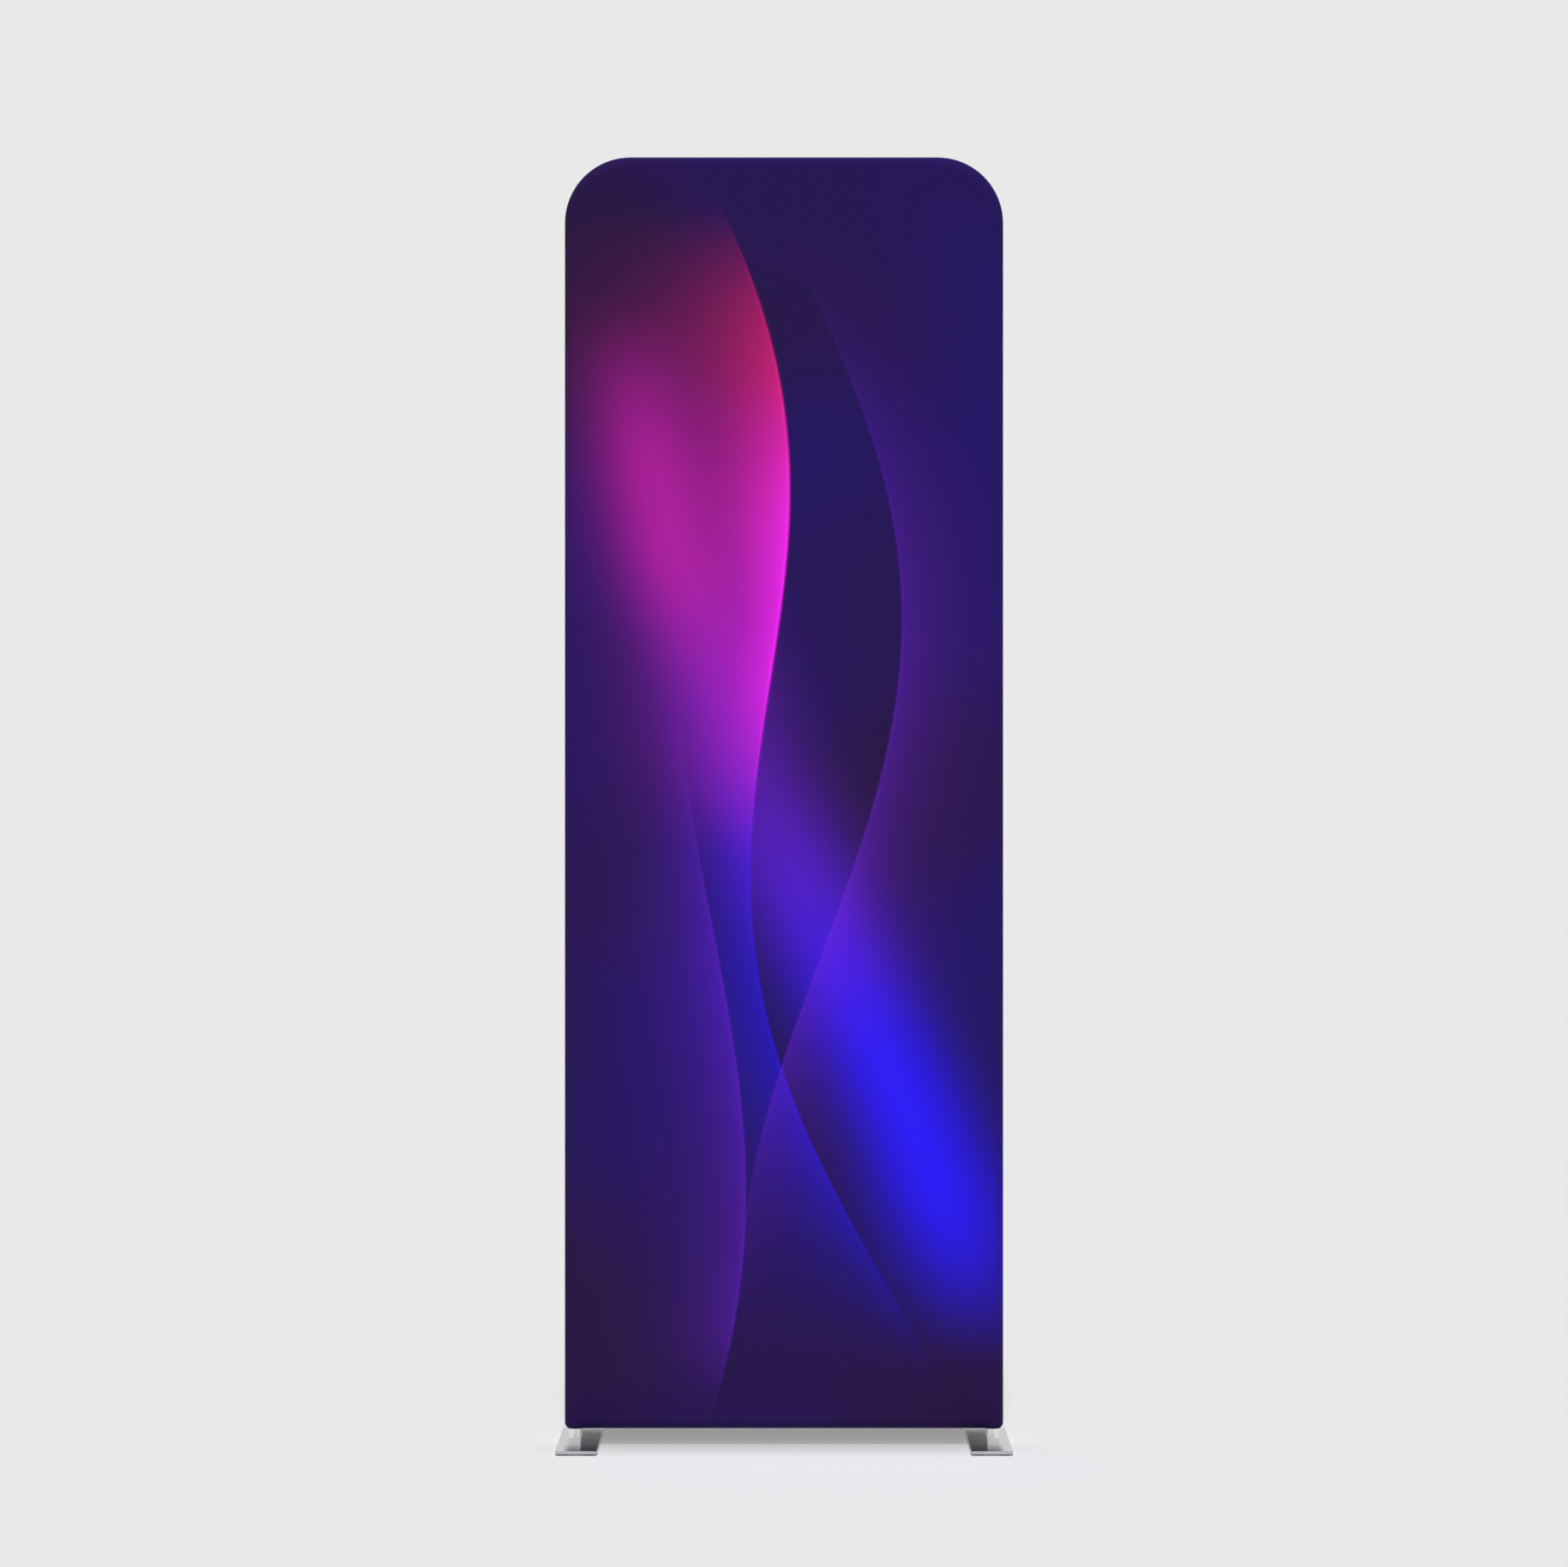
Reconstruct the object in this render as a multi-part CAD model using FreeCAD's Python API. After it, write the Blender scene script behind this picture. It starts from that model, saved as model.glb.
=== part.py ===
import FreeCAD, Part
import math
import os

os.makedirs("parts", exist_ok=True)

V = FreeCAD.Vector

# Driving dimensions, in millimetres. +Z is up, the printed face looks along -Y,
# the floor is z = 0 and the middle of the wall is x = 0.

# Fabric cover
cover_width = 800.0
cover_height = 2320.0
cloth_thickness = 0.5
cloth_clearance = 0.3
post_hole_clearance = 0.6

# Frame tube
tube_diameter = 38.0
tube_wall = 1.5
bend_radius = 100.0
lower_tube_length = 766.0
middle_tube_length = 799.0

# Slip joints between tubes
insert_length = 120.0
insert_wall = 2.0
slip_clearance = 0.05
button_setback = 30.0
button_diameter = 8.0
button_rise = 3.0
button_bevel = 1.6
button_clearance = 0.15
flange_lip = 1.5
flange_thickness = 1.2
leaf_thickness = 0.6
leaf_width = 8.0
leaf_length = 42.0
leaf_bend_radius = 4.0
rivet_setback = 38.0
rivet_diameter = 4.0
rivet_head_diameter = 8.0
rivet_head_height = 1.2
rivet_head_bevel = 0.9
rivet_tail_diameter = 6.0
rivet_tail_height = 2.0

# Bottom bar sockets
stub_length = 78.0
stub_button_reach = 46.0
cope_clearance = 0.3

# Swivel feet
plate_length = 400.0
plate_width = 75.0
plate_thickness = 6.0
plate_corner_radius = 8.0
plate_edge_round = 1.2
plate_offset = 7.0
pad_diameter = 18.0
pad_thickness = 2.5
pad_inset = 14.0
foot_gap = 20.0
post_diameter = 25.0
post_length = 150.0
post_wall = 3.0
post_floor = 30.0
post_chamfer = 1.0
screw_diameter = 10.0
screw_head_diameter = 20.0
screw_length = 26.0
screw_socket = 6.0
screw_socket_depth = 4.0
screw_recess = 0.3
screw_tip_room = 2.0

# Nylon bushes in the foot of each upright
bush_clearance = 0.05
nose_radius = 13.0
nose_lip = 0.5
sleeve_length = 40.0
cup_depth = 20.0
cup_roof = 8.0
bush_rivet_depth = 4.0
bush_rivet_inset = 6.0

# Zip on the back of the cover
zip_end_margin = 31.2
zip_slot = 10.0
tape_width = 14.0
tape_thickness = 0.6
tape_tail = 8.0
chain_width = 6.0
chain_thickness = 2.4
chain_clearance = 0.4
chain_round = 0.7
stop_length = 3.0
stop_gap = 0.3
slider_length = 14.0
slider_plate = 1.4
slider_flange = 1.2
wedge_length = 4.0
wedge_width = 2.2
bail_radius = 3.0
bail_wire = 1.6
pull_length = 26.0
pull_width = 6.4
pull_thickness = 1.5
pull_gap = 0.3
pull_end_round = 2.8

# How far a cutting shape runs past the piece that it cuts
cut_overrun = 1.0

# Derived positions and radii
tube_radius = tube_diameter / 2
bore_radius = tube_radius - tube_wall
insert_radius = bore_radius - slip_clearance
insert_bore = insert_radius - insert_wall
wrap_inner = tube_radius + cloth_clearance
wrap_outer = wrap_inner + cloth_thickness
axis_x = cover_width / 2 - wrap_outer
plate_top = pad_thickness + plate_thickness
cover_bottom = plate_top + foot_gap
bar_z = cover_bottom + wrap_outer
top_z = cover_bottom + cover_height - wrap_outer
bend_z = top_z - bend_radius
bend_x = axis_x - bend_radius
post_radius = post_diameter / 2
post_bore = post_radius + bush_clearance
post_top = plate_top + post_length
nose_centre = tube_radius - nose_radius
nose_flat = post_bore + nose_lip
nose_height = math.sqrt(nose_radius ** 2 - (nose_flat - nose_centre) ** 2)
nose_bottom = cover_bottom + wrap_outer - tube_radius
tube_end_z = nose_bottom + nose_height
lower_joint_z = tube_end_z + lower_tube_length
upper_joint_z = lower_joint_z + middle_tube_length
zip_length = 2 * (axis_x - tube_radius - zip_end_margin)


def export(node, solids):
    """Write one named piece, made of one or more separate solids."""
    shape = solids[0] if len(solids) == 1 else Part.makeCompound(solids)
    shape.exportStep("parts/" + node + ".step")


def mirrored(shape):
    """The same shape on the other side of the wall's middle plane."""
    return shape.mirror(V(0, 0, 0), V(1, 0, 0))


def placed(shape, seat):
    """Move a shape from its local axes, z along the tube and x out through its wall."""
    origin, along, out = seat
    turn = FreeCAD.Rotation(out, along.cross(out), along, "ZXY")
    moved = shape.copy()
    moved.Placement = FreeCAD.Placement(origin, turn).multiply(shape.Placement)
    return moved


def pipe(outer, inner, length, base, direction):
    """A straight round tube."""
    solid = Part.makeCylinder(outer, length, base, direction)
    return solid.cut(Part.makeCylinder(inner, length, base, direction))


def turned(points):
    """A solid of revolution about local z, from straight radius and height points."""
    corners = [V(r, 0, z) for r, z in points]
    outline = Part.makePolygon(corners + [corners[0]])
    return Part.Face(outline).revolve(V(0, 0, 0), V(0, 0, 1), 360)


def half_disc(centre, side, out, radius):
    """A half disc whose straight edge lies along side and whose bulge points out."""
    first = centre - side * radius
    last = centre + side * radius
    arc = Part.Arc(first, centre + out * radius, last).toShape()
    edge = Part.LineSegment(last, first).toShape()
    return Part.Face(Part.Wire([arc, edge]))


def column(offset, floor):
    """The rounded foot of an upright, grown by an offset, about local z."""
    radius = nose_radius + offset
    centre_z = nose_bottom + nose_height
    drop = centre_z - floor
    flat = nose_centre + math.sqrt(radius ** 2 - drop ** 2)
    side = nose_centre + radius
    lean = math.atan2(drop, flat - nose_centre) / 2
    middle = V(nose_centre + radius * math.cos(lean), 0, centre_z - radius * math.sin(lean))
    low_corner = V(flat, 0, floor)
    side_low = V(side, 0, centre_z)
    side_high = V(side, 0, bar_z)
    edges = [
        Part.LineSegment(V(0, 0, floor), low_corner).toShape(),
        Part.Arc(low_corner, middle, side_low).toShape(),
        Part.LineSegment(side_low, side_high).toShape(),
        Part.LineSegment(side_high, V(0, 0, bar_z)).toShape(),
        Part.LineSegment(V(0, 0, bar_z), V(0, 0, floor)).toShape(),
    ]
    return Part.Face(Part.Wire(edges)).revolve(V(0, 0, 0), V(0, 0, 1), 360)


def pillow(offset):
    """The closed outside of the whole frame, grown by an offset from the tubes."""
    r = tube_radius + offset
    left = V(-axis_x, 0, 0)
    corner = V(-bend_x, 0, bend_z)
    quarter = math.sqrt(0.5) * bend_radius
    arc_mid = V(-bend_x - quarter, -r, bend_z + quarter)
    p = [
        V(-axis_x, -r, bar_z),
        V(-axis_x, -r, bend_z),
        V(-bend_x, -r, top_z),
        V(bend_x, -r, top_z),
        V(axis_x, -r, bend_z),
        V(axis_x, -r, bar_z),
    ]
    outline = [
        Part.LineSegment(p[0], p[1]).toShape(),
        Part.Arc(p[1], arc_mid, p[2]).toShape(),
        Part.LineSegment(p[2], p[3]).toShape(),
        Part.Arc(p[3], V(-arc_mid.x, -r, arc_mid.z), p[4]).toShape(),
        Part.LineSegment(p[4], p[5]).toShape(),
        Part.LineSegment(p[5], p[0]).toShape(),
    ]
    core = Part.Face(Part.Wire(outline)).extrude(V(0, 2 * r, 0))
    side_disc = half_disc(left + V(0, 0, bar_z), V(0, 1, 0), V(-1, 0, 0), r)
    side = side_disc.extrude(V(0, 0, bend_z - bar_z))
    bend_disc = half_disc(left + V(0, 0, bend_z), V(0, 1, 0), V(-1, 0, 0), r)
    bend = bend_disc.revolve(corner, V(0, 1, 0), 90)
    top_disc = half_disc(V(-bend_x, 0, top_z), V(0, 1, 0), V(0, 0, 1), r)
    top = top_disc.extrude(V(2 * bend_x, 0, 0))
    hem_disc = half_disc(V(-axis_x, 0, bar_z), V(0, 1, 0), V(0, 0, -1), r)
    hem = hem_disc.extrude(V(2 * axis_x, 0, 0))
    foot = column(offset, nose_bottom - offset)
    foot.translate(left)
    rims = [side, bend, top, mirrored(bend), mirrored(side), hem, foot, mirrored(foot)]
    return core.fuse(rims).removeSplitter()


# Seats of the seven slip joints: origin, direction along the tube, direction of the button.
# The rivet or weld is on the +along side of each seat and the button on the other.
stub_seat_x = axis_x - tube_radius - stub_button_reach + button_setback
seats = {
    "top": (V(0, 0, top_z), V(-1, 0, 0), V(0, 0, -1)),
    "left_upper": (V(-axis_x, 0, upper_joint_z), V(0, 0, 1), V(1, 0, 0)),
    "right_upper": (V(axis_x, 0, upper_joint_z), V(0, 0, 1), V(-1, 0, 0)),
    "left_lower": (V(-axis_x, 0, lower_joint_z), V(0, 0, 1), V(1, 0, 0)),
    "right_lower": (V(axis_x, 0, lower_joint_z), V(0, 0, 1), V(-1, 0, 0)),
    "left_bar": (V(-stub_seat_x, 0, bar_z), V(-1, 0, 0), V(0, 0, 1)),
    "right_bar": (V(stub_seat_x, 0, bar_z), V(1, 0, 0), V(0, 0, 1)),
}
insert_seats = ["top", "left_upper", "right_upper", "left_lower", "right_lower"]

# Holes that the buttons and rivets pass through, in a seat's local axes
button_radius = button_diameter / 2
rivet_radius = rivet_diameter / 2
hole_reach = tube_diameter
button_hole = Part.makeCylinder(
    button_radius + button_clearance, hole_reach, V(0, 0, -button_setback), V(1, 0, 0)
)
rivet_hole = Part.makeCylinder(
    rivet_radius + slip_clearance, hole_reach, V(0, 0, rivet_setback), V(1, 0, 0)
)

# Seats of the rivets that hold the bushes in the uprights
sleeve_rivet_z = tube_end_z + sleeve_length - bush_rivet_inset
cup_rivet_z = post_top - cup_depth / 2
bush_seats = {}
for side, sign in (("left", -1), ("right", 1)):
    inward = V(-sign, 0, 0)
    bush_seats[side + "_sleeve"] = (V(sign * axis_x, 0, sleeve_rivet_z), V(0, 0, 1), inward)
    bush_seats[side + "_cup"] = (V(sign * axis_x, 0, cup_rivet_z), V(0, 0, 1), inward)
bush_hole = Part.makeCylinder(
    rivet_radius + slip_clearance,
    hole_reach,
    V(tube_radius - tube_wall - bush_rivet_depth, 0, 0),
    V(1, 0, 0),
)

# Bent corner tubes, from the upper slip joints to the middle of the top
for side in ("left", "right"):
    leg = pipe(tube_radius, bore_radius, bend_z - upper_joint_z, V(-axis_x, 0, upper_joint_z), V(0, 0, 1))
    end_out = Part.Wire(Part.makeCircle(tube_radius, V(-axis_x, 0, bend_z), V(0, 0, 1)))
    end_in = Part.Wire(Part.makeCircle(bore_radius, V(-axis_x, 0, bend_z), V(0, 0, 1)))
    bend_axis = V(-bend_x, 0, bend_z)
    bend_out = Part.Face(end_out).revolve(bend_axis, V(0, 1, 0), 90)
    bend_in = Part.Face(end_in).revolve(bend_axis, V(0, 1, 0), 90)
    bend = bend_out.cut(bend_in)
    arm = pipe(tube_radius, bore_radius, bend_x, V(-bend_x, 0, top_z), V(1, 0, 0))
    tube = leg.fuse([bend, arm]).removeSplitter()
    if side == "right":
        tube = mirrored(tube)
        tube = tube.cut(placed(button_hole, seats["top"]))
    else:
        tube = tube.cut(placed(rivet_hole, seats["top"]))
    tube = tube.cut(placed(rivet_hole, seats[side + "_upper"]))
    export(side + "_corner_tube", [tube])

# Straight middle tubes
for side, sign in (("left", -1), ("right", 1)):
    length = upper_joint_z - lower_joint_z
    tube = pipe(tube_radius, bore_radius, length, V(sign * axis_x, 0, lower_joint_z), V(0, 0, 1))
    tube = tube.cut(placed(button_hole, seats[side + "_upper"]))
    tube = tube.cut(placed(rivet_hole, seats[side + "_lower"]))
    export(side + "_middle_tube", [tube])

# Lower tubes, each with a stub welded on its side that carries the bottom bar
for side, sign in (("left", -1), ("right", 1)):
    base = V(sign * axis_x, 0, tube_end_z)
    length = lower_joint_z - tube_end_z
    post_tube = Part.makeCylinder(tube_radius, length, base, V(0, 0, 1))
    stub = pipe(
        insert_radius,
        insert_bore,
        tube_radius + stub_length,
        V(sign * axis_x, 0, bar_z),
        V(-sign, 0, 0),
    )
    nose_room = Part.makeCylinder(
        tube_radius + cope_clearance,
        tube_diameter,
        V(sign * axis_x, 0, tube_end_z - tube_diameter),
        V(0, 0, 1),
    )
    stub = stub.cut(nose_room)
    stub = stub.cut(placed(button_hole, seats[side + "_bar"]))
    tube = post_tube.fuse(stub)
    tube = tube.cut(Part.makeCylinder(bore_radius, length, base, V(0, 0, 1)))
    tube = tube.cut(placed(button_hole, seats[side + "_lower"]))
    tube = tube.cut(placed(bush_hole, bush_seats[side + "_sleeve"]))
    tube = tube.cut(placed(bush_hole, bush_seats[side + "_cup"]))
    export(side + "_lower_tube", [tube])

# Bottom bar, with ends coped round the uprights
bar = pipe(tube_radius, bore_radius, 2 * axis_x, V(-axis_x, 0, bar_z), V(1, 0, 0))
for side, sign in (("left", -1), ("right", 1)):
    cope = Part.makeCylinder(
        tube_radius + cope_clearance,
        2 * tube_diameter,
        V(sign * axis_x, 0, bar_z - tube_diameter),
        V(0, 0, 1),
    )
    bar = bar.cut(cope)
    bar = bar.cut(placed(button_hole, seats[side + "_bar"]))
main_bar = max(bar.Solids, key=lambda solid: solid.Volume)
export("bottom_bar", [main_bar])

# Inner joint inserts, riveted into one tube and sliding into the next
insert = pipe(insert_radius, insert_bore, insert_length, V(0, 0, -insert_length / 2), V(0, 0, 1))
insert = insert.cut(button_hole)
insert = insert.cut(rivet_hole)
for name in insert_seats:
    export(name + "_joint_insert", [placed(insert, seats[name])])

# Snap buttons: a bevelled pin with a flange that bears on the inside of the insert
flange_radius = button_radius + flange_lip
flange_face = math.sqrt(insert_bore ** 2 - flange_radius ** 2) - slip_clearance
flange_back = flange_face - flange_thickness
button_tip = tube_radius + button_rise
flange = Part.makeCylinder(flange_radius, flange_thickness, V(flange_back, 0, -button_setback), V(1, 0, 0))
pin = Part.makeCylinder(
    button_radius, button_tip - flange_face, V(flange_face, 0, -button_setback), V(1, 0, 0)
)
tip_edges = [e for e in pin.Edges if abs(e.CenterOfMass.x - button_tip) < 0.001]
pin = pin.makeChamfer(button_bevel, tip_edges)
button = flange.fuse(pin)
for name in seats:
    export(name + "_snap_button", [placed(button, seats[name])])

# Leaf springs: a strip bent into a V, one leg under the button and one on the far wall
leaf_top = flange_back - leaf_thickness / 2
leaf_low = -math.sqrt(insert_bore ** 2 - (leaf_width / 2) ** 2) + slip_clearance + leaf_thickness / 2
leaf_mid = (leaf_top + leaf_low) / 2
leaf_start = -button_setback - flange_radius
leaf_knee = -button_setback + flange_radius
bend_centre_z = leaf_start + leaf_length - leaf_bend_radius
path = [(leaf_top, leaf_start), (leaf_top, leaf_knee)]
for step in range(9):
    angle = math.pi * step / 8
    across = leaf_mid + leaf_bend_radius * math.cos(angle)
    path.append((across, bend_centre_z + leaf_bend_radius * math.sin(angle)))
path += [(leaf_low, leaf_knee), (leaf_low, leaf_start)]
inside = []
outside = []
for i, (x, z) in enumerate(path):
    before = path[max(i - 1, 0)]
    after = path[min(i + 1, len(path) - 1)]
    here = [(x - before[0], z - before[1]), (after[0] - x, after[1] - z)]
    runs = [(dx / math.hypot(dx, dz), dz / math.hypot(dx, dz)) for dx, dz in here if math.hypot(dx, dz) > 0]
    nx = sum(-dz for dx, dz in runs) / len(runs)
    nz = sum(dx for dx, dz in runs) / len(runs)
    stretch = leaf_thickness / 2 / (nx * nx + nz * nz)
    inside.append(V(x + nx * stretch, -leaf_width / 2, z + nz * stretch))
    outside.append(V(x - nx * stretch, -leaf_width / 2, z - nz * stretch))
ring = inside + outside[::-1]
leaf = Part.Face(Part.makePolygon(ring + [ring[0]])).extrude(V(0, leaf_width, 0))
for name in seats:
    export(name + "_leaf_spring", [placed(leaf, seats[name])])

# Rivets: one through each insert and one into each nylon bush
head = Part.makeCylinder(rivet_head_diameter / 2, rivet_head_height, V(tube_radius, 0, 0), V(1, 0, 0))
head_edges = [e for e in head.Edges if abs(e.CenterOfMass.x - tube_radius - rivet_head_height) < 0.001]
head = head.makeChamfer(rivet_head_bevel, head_edges)
through = Part.makeCylinder(rivet_radius, tube_radius - insert_bore, V(insert_bore, 0, 0), V(1, 0, 0))
tail_radius = rivet_tail_diameter / 2
tail_room = math.sqrt(insert_bore ** 2 - tail_radius ** 2) - slip_clearance
tail_end = tail_room - rivet_tail_height
tail_neck = Part.makeCylinder(rivet_radius, insert_bore - tail_end, V(tail_end, 0, 0), V(1, 0, 0))
tail = Part.makeCylinder(tail_radius, rivet_tail_height, V(tail_end, 0, 0), V(1, 0, 0))
insert_rivet = head.fuse([through, tail_neck, tail]).removeSplitter()
insert_rivet.translate(V(0, 0, rivet_setback))
export("joint_rivets", [placed(insert_rivet, seats[name]) for name in insert_seats])

grip = tube_wall + bush_rivet_depth - slip_clearance
bush_shank = Part.makeCylinder(rivet_radius, grip, V(tube_radius - grip, 0, 0), V(1, 0, 0))
bush_rivet = head.fuse(bush_shank).removeSplitter()
export("bush_rivets", [placed(bush_rivet, bush_seats[name]) for name in bush_seats])

# Nylon bushes that the foot posts turn in
sleeve_block = Part.makeCylinder(insert_radius, sleeve_length, V(0, 0, tube_end_z), V(0, 0, 1))
nose_top = Part.makeCylinder(tube_diameter, tube_diameter, V(0, 0, tube_end_z), V(0, 0, 1))
nose = column(0, nose_bottom).cut(nose_top)
post_room_at = V(0, 0, nose_bottom - cut_overrun)
post_room = Part.makeCylinder(post_bore, sleeve_length + tube_diameter, post_room_at, V(0, 0, 1))
end_bush = sleeve_block.fuse(nose).removeSplitter().cut(post_room)
cup = turned([
    (post_bore, post_top - cup_depth),
    (insert_radius, post_top - cup_depth),
    (insert_radius, post_top + cup_roof),
    (0, post_top + cup_roof),
    (0, post_top),
    (post_bore, post_top),
])
for side, sign in (("left", -1), ("right", 1)):
    lower_bush = end_bush.copy()
    lower_bush.translate(V(sign * axis_x, 0, 0))
    export(side + "_end_bush", [lower_bush.cut(placed(bush_hole, bush_seats[side + "_sleeve"]))])
    upper_bush = cup.copy()
    upper_bush.translate(V(sign * axis_x, 0, 0))
    export(side + "_thrust_bush", [upper_bush.cut(placed(bush_hole, bush_seats[side + "_cup"]))])

# Swivel feet: plate, post, screw and rubber pads
shank_radius = screw_diameter / 2
head_radius = screw_head_diameter / 2
head_height = head_radius - shank_radius
screw_bottom = pad_thickness + screw_recess
hex_points = [
    V(
        screw_socket / math.sqrt(3) * math.cos(math.pi * k / 3),
        screw_socket / math.sqrt(3) * math.sin(math.pi * k / 3),
        screw_bottom,
    )
    for k in range(7)
]
hex_socket = Part.Face(Part.makePolygon(hex_points)).extrude(V(0, 0, screw_socket_depth))
screw = turned([
    (0, screw_bottom),
    (head_radius, screw_bottom),
    (shank_radius, screw_bottom + head_height),
    (shank_radius, screw_bottom + screw_length),
    (0, screw_bottom + screw_length),
]).cut(hex_socket)
sink = turned([
    (0, pad_thickness - cut_overrun),
    (head_radius + slip_clearance, pad_thickness - cut_overrun),
    (head_radius + slip_clearance, screw_bottom),
    (shank_radius + slip_clearance, screw_bottom + head_height),
    (shank_radius + slip_clearance, screw_bottom + screw_length + screw_tip_room),
    (0, screw_bottom + screw_length + screw_tip_room),
])
post = turned([
    (0, plate_top),
    (post_radius, plate_top),
    (post_radius, post_top - post_chamfer),
    (post_radius - post_chamfer, post_top),
    (post_radius - post_wall, post_top),
    (post_radius - post_wall, plate_top + post_floor),
    (0, plate_top + post_floor),
]).cut(sink)
plate = Part.makeBox(
    plate_width,
    plate_length,
    plate_thickness,
    V(-plate_width / 2, -plate_length / 2, pad_thickness),
)
plate_middle = pad_thickness + plate_thickness / 2
corner_edges = [e for e in plate.Edges if abs(e.CenterOfMass.z - plate_middle) < 0.001]
plate = plate.makeFillet(plate_corner_radius, corner_edges)
rim_edges = [e for e in plate.Edges if abs(e.BoundBox.ZMin - plate_top) < 0.001]
plate = plate.makeFillet(plate_edge_round, rim_edges)
pad_x = plate_width / 2 - pad_inset
pad_y = plate_length / 2 - pad_inset
pads = []
for px in (-pad_x, pad_x):
    for py in (-pad_y, pad_y):
        pads.append(Part.makeCylinder(pad_diameter / 2, pad_thickness, V(px, py, 0), V(0, 0, 1)))
for side, sign in (("left", -1), ("right", 1)):
    at_post = V(sign * axis_x, 0, 0)
    at_plate = V(sign * (axis_x - plate_offset), 0, 0)
    side_sink = sink.copy()
    side_sink.translate(at_post)
    side_plate = plate.copy()
    side_plate.translate(at_plate)
    export(side + "_foot_plate", [side_plate.cut(side_sink)])
    side_post = post.copy()
    side_post.translate(at_post)
    export(side + "_foot_post", [side_post])
    side_screw = screw.copy()
    side_screw.translate(at_post)
    export(side + "_foot_screw", [side_screw])
    side_pads = [pad.copy() for pad in pads]
    for pad in side_pads:
        pad.translate(at_plate)
    export(side + "_foot_pads", side_pads)

# Fabric cover: a thin skin round the frame, sewn from a front and a back
skin = pillow(cloth_clearance + cloth_thickness).cut(pillow(cloth_clearance))
for sign in (-1, 1):
    hole = Part.makeCylinder(
        post_radius + post_hole_clearance,
        wrap_outer,
        V(sign * axis_x, 0, cover_bottom - wrap_outer / 2),
        V(0, 0, 1),
    )
    skin = skin.cut(hole)
half_room = Part.makeBox(
    cover_width + 2 * cut_overrun,
    wrap_outer + cut_overrun,
    cover_height + 2 * cut_overrun,
    V(-cover_width / 2 - cut_overrun, 0, cover_bottom - cut_overrun),
)
export("cover_front", [skin.cut(half_room)])

# Zip, just above the bottom bar on the inside of the back
tape_face = wrap_inner
tape_back = tape_face - tape_thickness
tape_rise = math.sqrt(tube_radius ** 2 - (tape_back - cope_clearance) ** 2) + cope_clearance
zip_z = bar_z + tape_rise + tape_width + chain_width / 2
chain_y = tape_face - tape_thickness / 2
slot_length = zip_length + 2 * stop_length
slot = Part.makeBox(
    slot_length, wrap_outer, zip_slot, V(-slot_length / 2, wrap_outer / 2, zip_z - zip_slot / 2)
)
export("cover_back", [skin.common(half_room).cut(slot)])

tape_length = slot_length + 2 * tape_tail
tape_x = -tape_length / 2
upper_edge = zip_z + chain_width / 2
lower_edge = zip_z - chain_width / 2 - tape_width
for name, edge_z in (("zip_upper_tape", upper_edge), ("zip_lower_tape", lower_edge)):
    tape_at = V(tape_x, tape_back, edge_z)
    export(name, [Part.makeBox(tape_length, tape_thickness, tape_width, tape_at)])

slider_front = zip_length / 2 - stop_length - stop_gap
slider_rear = slider_front - slider_length
chain_start = -zip_length / 2 + stop_length
chain_end = slider_front - wedge_length - chain_clearance
chain = Part.makeBox(
    chain_end - chain_start,
    chain_thickness,
    chain_width,
    V(chain_start, chain_y - chain_thickness / 2, zip_z - chain_width / 2),
)
long_edges = [e for e in chain.Edges if abs(e.Length - (chain_end - chain_start)) < 0.001]
export("zip_chain", [chain.makeFillet(chain_round, long_edges)])

stop_y = chain_y - chain_thickness / 2 - chain_clearance
stop_depth = chain_thickness + 2 * chain_clearance
stop_height = (chain_width - wedge_width) / 2
stop_z = zip_z - chain_width / 2
top_x = zip_length / 2 - stop_length
end_stop = Part.makeBox(stop_length, stop_depth, chain_width, V(-zip_length / 2, stop_y, stop_z))
upper_stop = Part.makeBox(stop_length, stop_depth, stop_height, V(top_x, stop_y, zip_z + wedge_width / 2))
lower_stop = Part.makeBox(stop_length, stop_depth, stop_height, V(top_x, stop_y, stop_z))
export("zip_stops", [end_stop, upper_stop, lower_stop])

# Zip slider: two plates joined by a wedge, edge flanges round the chain, and a bail
half_gap = chain_thickness / 2 + chain_clearance
slider_half = chain_width / 2 + chain_clearance + slider_flange
slider_height = 2 * slider_half
outer_y = chain_y + half_gap
inner_y = chain_y - half_gap - slider_plate
slider = []
for plate_y in (outer_y, inner_y):
    block_at = V(slider_rear, plate_y, zip_z - slider_half)
    block = Part.makeBox(slider_length, slider_plate, slider_height, block_at)
    upright_edges = [e for e in block.Edges if abs(e.Length - slider_plate) < 0.001]
    slider.append(block.makeFillet(slider_plate, upright_edges))
flange_room = half_gap - tape_thickness / 2 - chain_clearance
flange_length = slider_length - 2 * slider_plate
for flange_z in (zip_z - slider_half, zip_z + slider_half - slider_flange):
    for flange_y in (outer_y - flange_room, inner_y + slider_plate):
        flange_at = V(slider_rear + slider_plate, flange_y, flange_z)
        slider.append(Part.makeBox(flange_length, flange_room, slider_flange, flange_at))
wedge_at = V(slider_front - wedge_length, inner_y + slider_plate, zip_z - wedge_width / 2)
slider.append(Part.makeBox(wedge_length - slider_plate / 2, 2 * half_gap, wedge_width, wedge_at))
slider_face = outer_y + slider_plate
pull_x = slider_front - slider_length / 2
pull_y = slider_face + pull_gap + pull_thickness / 2
wire_radius = bail_wire / 2
wire_ring = Part.makeCircle(wire_radius, V(pull_x + bail_radius, pull_y, zip_z), V(0, 1, 0))
wire_end = Part.Face(Part.Wire(wire_ring))
slider.append(wire_end.revolve(V(pull_x, pull_y, zip_z), V(0, 0, 1), 180))
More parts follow.
